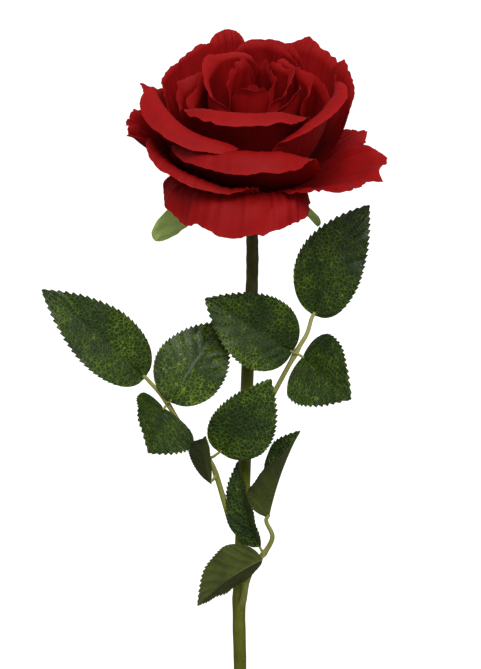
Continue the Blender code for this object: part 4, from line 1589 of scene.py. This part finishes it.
@dataclass
class Bloom:
    """The flower: hip and dome, sepals, petals from the heart outwards, and the rolled heart."""

    seat: Seat
    thickness: float = 0.34 * MM
    packed_thickness: float = 0.7 * MM
    clearance: float = 0.55 * MM
    columns: int = 96
    rows: int = 64
    spine_steps: int = 80
    roll_steps: int = 30
    belly: float = 0.42
    claw: float = 0.45
    waist: float = 0.1
    first_seat: float = 12 * DEG
    last_seat: float = 88 * DEG
    spare: float = 8 * MM
    peak_width: float = 0.34
    heart_turns: float = 3.4
    heart_rim: float = 51.3 * MM
    heart_core: float = 0.5 * MM
    heart_spread: float = 4.1 * MM
    heart_thickness: float = 0.24 * MM
    velvet: PetalVelvet = field(default_factory=PetalVelvet)
    green: SepalGreen = field(default_factory=SepalGreen)

    def spines(self, petal: Petal, angle: float, u: Array) -> Tuple[Array, Array]:
        """Lays out the petal's profile at each place across it.

        Args:
            petal: the petal.
            angle: where on the dome it is seated.
            u: the places across it, from -1 to 1.

        Returns:
            Points as radius and height, places x steps x 2, and the length up to each.
        """
        lift = self.clearance + self.packed_thickness / 2
        start = np.array(
            [
                (self.seat.dome_radius + lift) * math.sin(angle),
                self.seat.hip_top + (self.seat.dome_rise + lift) * math.cos(angle),
            ]
        )
        crest = np.stack(
            [through(u, petal.left[k], petal.middle[k], petal.right[k]) * MM for k in (1, 2)], axis=-1
        )
        chord = np.linalg.norm(crest - start, axis=1, keepdims=True) * self.belly
        lean, top = petal.base_lean * DEG, petal.crest_lean * DEG
        out = start + chord * (math.sin(lean), math.cos(lean))
        back = crest - chord * (math.sin(top), math.cos(top))
        t = np.linspace(0, 1, self.spine_steps + 1)[None, :, None]
        fine = start * (1 - t) ** 3 + out[:, None] * 3 * t * (1 - t) ** 2
        fine = fine + back[:, None] * 3 * t * t * (1 - t) + crest[:, None] * t**3
        k = np.arange(self.roll_steps)
        leans = top + petal.roll * DEG * (1 - (1 - (k + 0.5) / self.roll_steps) ** 2)
        step = through(u, *petal.rolled)[:, None, None] * MM / self.roll_steps
        rolled = fine[:, -1:] + np.cumsum(
            step * np.stack([np.sin(leans), np.cos(leans)], axis=-1)[None], axis=1,
        )
        last = rolled[:, -1:] + self.spare * np.array([math.sin(leans[-1]), math.cos(leans[-1])])
        line = np.concatenate([fine, rolled, last], axis=1)
        lengths = np.cumsum(np.linalg.norm(np.diff(line, axis=1), axis=2), axis=1)
        return line, np.concatenate([np.zeros((len(u), 1)), lengths], axis=1)

    def petal_sheet(self, petal: Petal, angle: float) -> Sheet:
        """Lays out one petal in the object's frame, seated at an angle on the dome."""
        wave, waves, fray, buckle, pleat = petal.whorl().value
        u = np.sin(np.linspace(-1, 1, self.columns + 1) * math.pi / 2)
        v = 1 - (1 - np.linspace(0, 1, self.rows + 1)) ** 1.25
        line, lengths = self.spines(petal, angle, u)
        seed = seed_of(petal.name)
        edge = Ripple(seed, 2, 11, 9).at(u * 0.5) * 0.75 + Ripple(seed + 1, 14, 30, 9).at(u * 0.5) * 0.16
        edge = np.minimum(edge, 0.9) * fray * petal.ragged * MM
        for tall, middle in petal.peaks:
            edge = edge + tall * MM * np.clip(1 - np.abs(u - middle) / self.peak_width, 0, 1) ** 1.35
        reach = 1 - petal.drop * np.abs(u) ** 5
        share = v[:, None] * reach * lengths[:, -2] + edge * smoothstep(0.55, 1, v)[:, None] ** 2
        places = np.stack(
            [[np.interp(share[:, j], lengths[j], line[j, :, k]) for j in range(len(u))]
            for k in (0, 1)], axis=-1
        )
        places = places.transpose(1, 0, 2)
        turn = through(u, petal.left[0], petal.middle[0], petal.right[0])
        widening = (1 + self.waist - self.claw) * smoothstep(0, 0.55, v)
        spread = self.claw + widening - self.waist * smoothstep(0.6, 1, v)
        turns = (petal.middle[0] + (turn - petal.middle[0]) * spread[:, None]) * DEG
        points = facing(turns) * places[..., :1] + np.concatenate(
            [np.zeros_like(places), places[..., 1:]], axis=-1,
        )
        width = (places[..., 0] * (turns - petal.middle[0] * DEG)) * 1000
        sheet = Sheet(self.seat.placed(points), np.stack([width, share * 1000], axis=-1), self.thickness)
        vv, uu = v[:, None], u[None, :]
        rim, body = smoothstep(0.62, 1, vv), smoothstep(0.2, 0.7, vv)
        swing = Ripple(seed + 2, waves * 0.35, waves * 1.6, 5).at(uu * 0.5, vv)
        height = wave * petal.ragged * swing * rim * 0.7
        height = height + buckle * Ripple(seed + 3, 0.5, 2.2, 5).at(uu * 0.5, vv * 0.9) * body * 0.6
        height = height + pleat * Ripple(seed + 4, 12, 30, 9).at(uu * 0.5, vv * 0.05) * body
        sheet = sheet.lifted(height * MM)
        sheet.thickness = self.thickness * (1 - 0.5 * smoothstep(0.75, 1, vv)) * np.ones_like(uu)
        return sheet

    def heart_sheet(self) -> Sheet:
        """Lays out the heart: one petal rolled round and round, open at its ruffled rim."""
        columns, rows = 260, 70
        a = np.linspace(0, 1, columns)[None, :]
        v = np.linspace(0, 1, rows)[:, None]
        foot = self.seat.hip_top + self.seat.dome_rise + 0.3 * MM
        rim = self.heart_rim - 2.6 * MM * a + 0.9 * MM * Ripple(31, 3, 16).at(a)
        height = foot + (rim - foot) * v
        swell = 0.24 + 0.76 * smoothstep(0, 0.62, v) - 0.22 * smoothstep(0.72, 1, v)
        radius = (self.heart_core + self.heart_spread * a**0.85) * swell
        radius = radius + 0.5 * MM * Ripple(32, 4, 15).at(a, v) * smoothstep(0.6, 1, v) * (0.3 + 0.7 * a)
        turn = a * self.heart_turns * 2 * math.pi + 0.6
        points = facing(turn + 0 * v) * radius[..., None] + height[..., None] * np.array([0, 0, 1.0])
        flat = np.stack([a * 60 + 0 * v, height * 1000 + 0 * a], axis=-1)
        return Sheet(self.seat.placed(points), flat, self.heart_thickness)

    def hip(self, growth: Growth, skin: bpy.types.Material) -> bpy.types.Object:
        """Builds the hip and the dome that the petals are seated on."""
        top, long = self.seat.hip_top, self.seat.hip_length
        heights = [
            top - long, top - 0.82 * long, top - 0.6 * long, top - 0.35 * long, top - 2.2 * MM,
            top - 0.8 * MM,
        ]
        girths = [2.6 * MM, 4.0 * MM, 5.4 * MM, 6.2 * MM, 5.9 * MM, 7.4 * MM]
        for k in range(1, 25):
            part = k / 24 * math.pi / 2
            heights.append(top + self.seat.dome_rise * math.sin(part))
            girths.append(max(self.seat.dome_radius * math.cos(part), 0.05 * MM))
        at = np.linspace(0, len(heights) - 1, 150)
        line = smooth_line([(h, g, 0) for h, g in zip(heights, girths)], len(at))
        points = self.seat.placed(np.stack([np.zeros(150), np.zeros(150), line[:, 0]], axis=-1))
        mesh = line_mesh("hip_line", [(points, np.maximum(line[:, 1], 0.05 * MM))])
        return settle(growth.grow("hip", growth.shoot(), mesh, skin, Sides=48), "stem_green", "receptacle")

    def build(self, growth: Growth, skin: bpy.types.Material) -> List[bpy.types.Object]:
        """Builds the whole flower.

        Args:
            growth: the trees that grow the hip.
            skin: the hip's material.

        Returns:
            The finished pieces.
        """
        made = [self.hip(growth, skin)]
        green = self.green.material()
        for sepal in SEPALS:
            sheet = sepal.sheet(self.seat)
            sheet.points = self.seat.placed(sheet.points)
            made.append(
                settle(
                    sheet.piece(sepal.name.replace("sepal", "calyx"), [green]), "sepal_green", sepal.name,
                )
            )
        red = self.velvet.material()
        for order, petal in enumerate(PETALS):
            angle = self.first_seat + (self.last_seat - self.first_seat) * order / (len(PETALS) - 1)
            sheet = self.petal_sheet(petal, angle)
            made.append(
                settle(sheet.piece(petal.name.replace("petal", "blossom"), [red]), "petal_red", petal.name)
            )
        made.append(settle(self.heart_sheet().piece("rolled_heart", [red]), "petal_red", "bud_heart"))
        return made


# ------------------------------------------------------------------------------------ studio
@dataclass
class Studio:
    """A pale floor without a wall, an even white sky, one soft key light and the camera."""

    floor_size: float = 60.0
    sky: float = 0.42
    key: float = 2.1
    fill: float = 0.45
    camera_place: Spot = (0.0, -1.49178, 0.50197)
    camera_target: Spot = (0.0, 0.0, 0.34518)
    lens: float = 183.45

    def paper(self) -> bpy.types.Material:
        """The floor's material: near white to the camera, and pale grey to the light that it returns."""
        made = Finish("studio_paper", Roughness=0.9, Specular_IOR_Level=0.0, Emission_Color=(1, 1, 1, 1))
        w = made.wiring
        seen = w.node("ShaderNodeLightPath").outputs["Is Camera Ray"]
        made.feed(
            Base_Color=w.dye(seen, (0.25, 0.25, 0.25), (0.93, 0.93, 0.93)),
            Emission_Strength=w.times(seen, 0.45),
        )
        return made.material

    def sun(self, name: str, strength: float, turn: float, height: float, spread: float) -> None:
        """Adds a sun.

        Args:
            name: the light's name.
            strength: its strength.
            turn: where it stands round the object, in degrees: 0 is in front, 90 to the right.
            height: how high it stands, in degrees.
            spread: how wide it looks, in degrees, which softens its shadows.
        """
        light = bpy.data.lights.new(name, "SUN")
        light.energy = strength
        light.angle = spread * DEG
        obj = bpy.data.objects.new(name, light)
        bpy.context.scene.collection.objects.link(obj)
        a, e = turn * DEG, height * DEG
        back = Vector((math.sin(a) * math.cos(e), -math.cos(a) * math.cos(e), math.sin(e)))
        obj.rotation_mode = "QUATERNION"
        obj.rotation_quaternion = (-back).to_track_quat("-Z", "Y")
        obj.location = back * 3

    def build(self) -> None:
        """Lays the floor, hangs the lights and aims the camera."""
        scene = bpy.context.scene
        edge = self.floor_size / 2
        mesh = bpy.data.meshes.new("studio_floor")
        mesh.from_pydata(
            [(-edge, -edge, 0), (edge, -edge, 0), (edge, edge, 0), (-edge, edge, 0)], [], [(0, 1, 2, 3)],
        )
        dressed("studio_floor", mesh, [self.paper()])
        world = bpy.data.worlds.new("studio_sky")
        world.use_nodes = True
        scene.world = world
        w = Wiring(world.node_tree)
        seen = w.node("ShaderNodeLightPath").outputs["Is Camera Ray"]
        shade = world.node_tree.nodes["Background"]
        w.feed(shade.inputs["Color"], (1.0, 1.0, 1.0, 1.0))
        w.feed(shade.inputs["Strength"], w.math("MULTIPLY_ADD", seen, 1.05 - self.sky, self.sky))
        self.sun("key", self.key, 4, 38, 32)
        self.sun("fill", self.fill, 40, 20, 50)
        lens = bpy.data.cameras.new("camera")
        lens.lens, lens.sensor_width, lens.sensor_fit = self.lens, 36, "AUTO"
        lens.clip_start, lens.clip_end = 0.05, 200
        camera = bpy.data.objects.new("camera", lens)
        scene.collection.objects.link(camera)
        camera.location = self.camera_place
        aim = Vector(self.camera_target) - Vector(self.camera_place)
        camera.rotation_mode = "QUATERNION"
        camera.rotation_quaternion = aim.to_track_quat("-Z", "Y")
        scene.camera = camera
        scene.view_settings.view_transform = "Standard"


def main() -> None:
    """Builds the rose in its vase, piece by piece, then the studio."""
    logging.basicConfig(level=logging.INFO, format="%(name)s: %(message)s")
    growth = Growth()
    vase = BudVase(height=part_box("vase")[1].z)
    seat = Seat(lip=vase.height)
    stem = RoseStem(seat, vase)
    pieces = [vase.build(growth), stem.build(growth)]
    stalk_green = StemSkin(low=rgb(104, 110, 24), middle=rgb(138, 142, 58), top=rgb(176, 170, 110))
    skin = stalk_green.material("stalk_skin", seat.lip + 30 * MM, seat.lip + 190 * MM)
    looks = [LeafFace().material(), LeafBack().material()]
    for leaf in LEAVES:
        pieces += leaf.build(growth, stem, skin, looks)
    pieces += Bloom(seat).build(growth, stem.skin.material("hip_skin", seat.lip, seat.lip + 600 * MM))
    Studio().build()
    LOG.info("%d pieces, %d faces", len(pieces), sum(len(p.data.polygons) for p in pieces))
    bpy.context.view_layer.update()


if __name__ == "__main__":
    main()
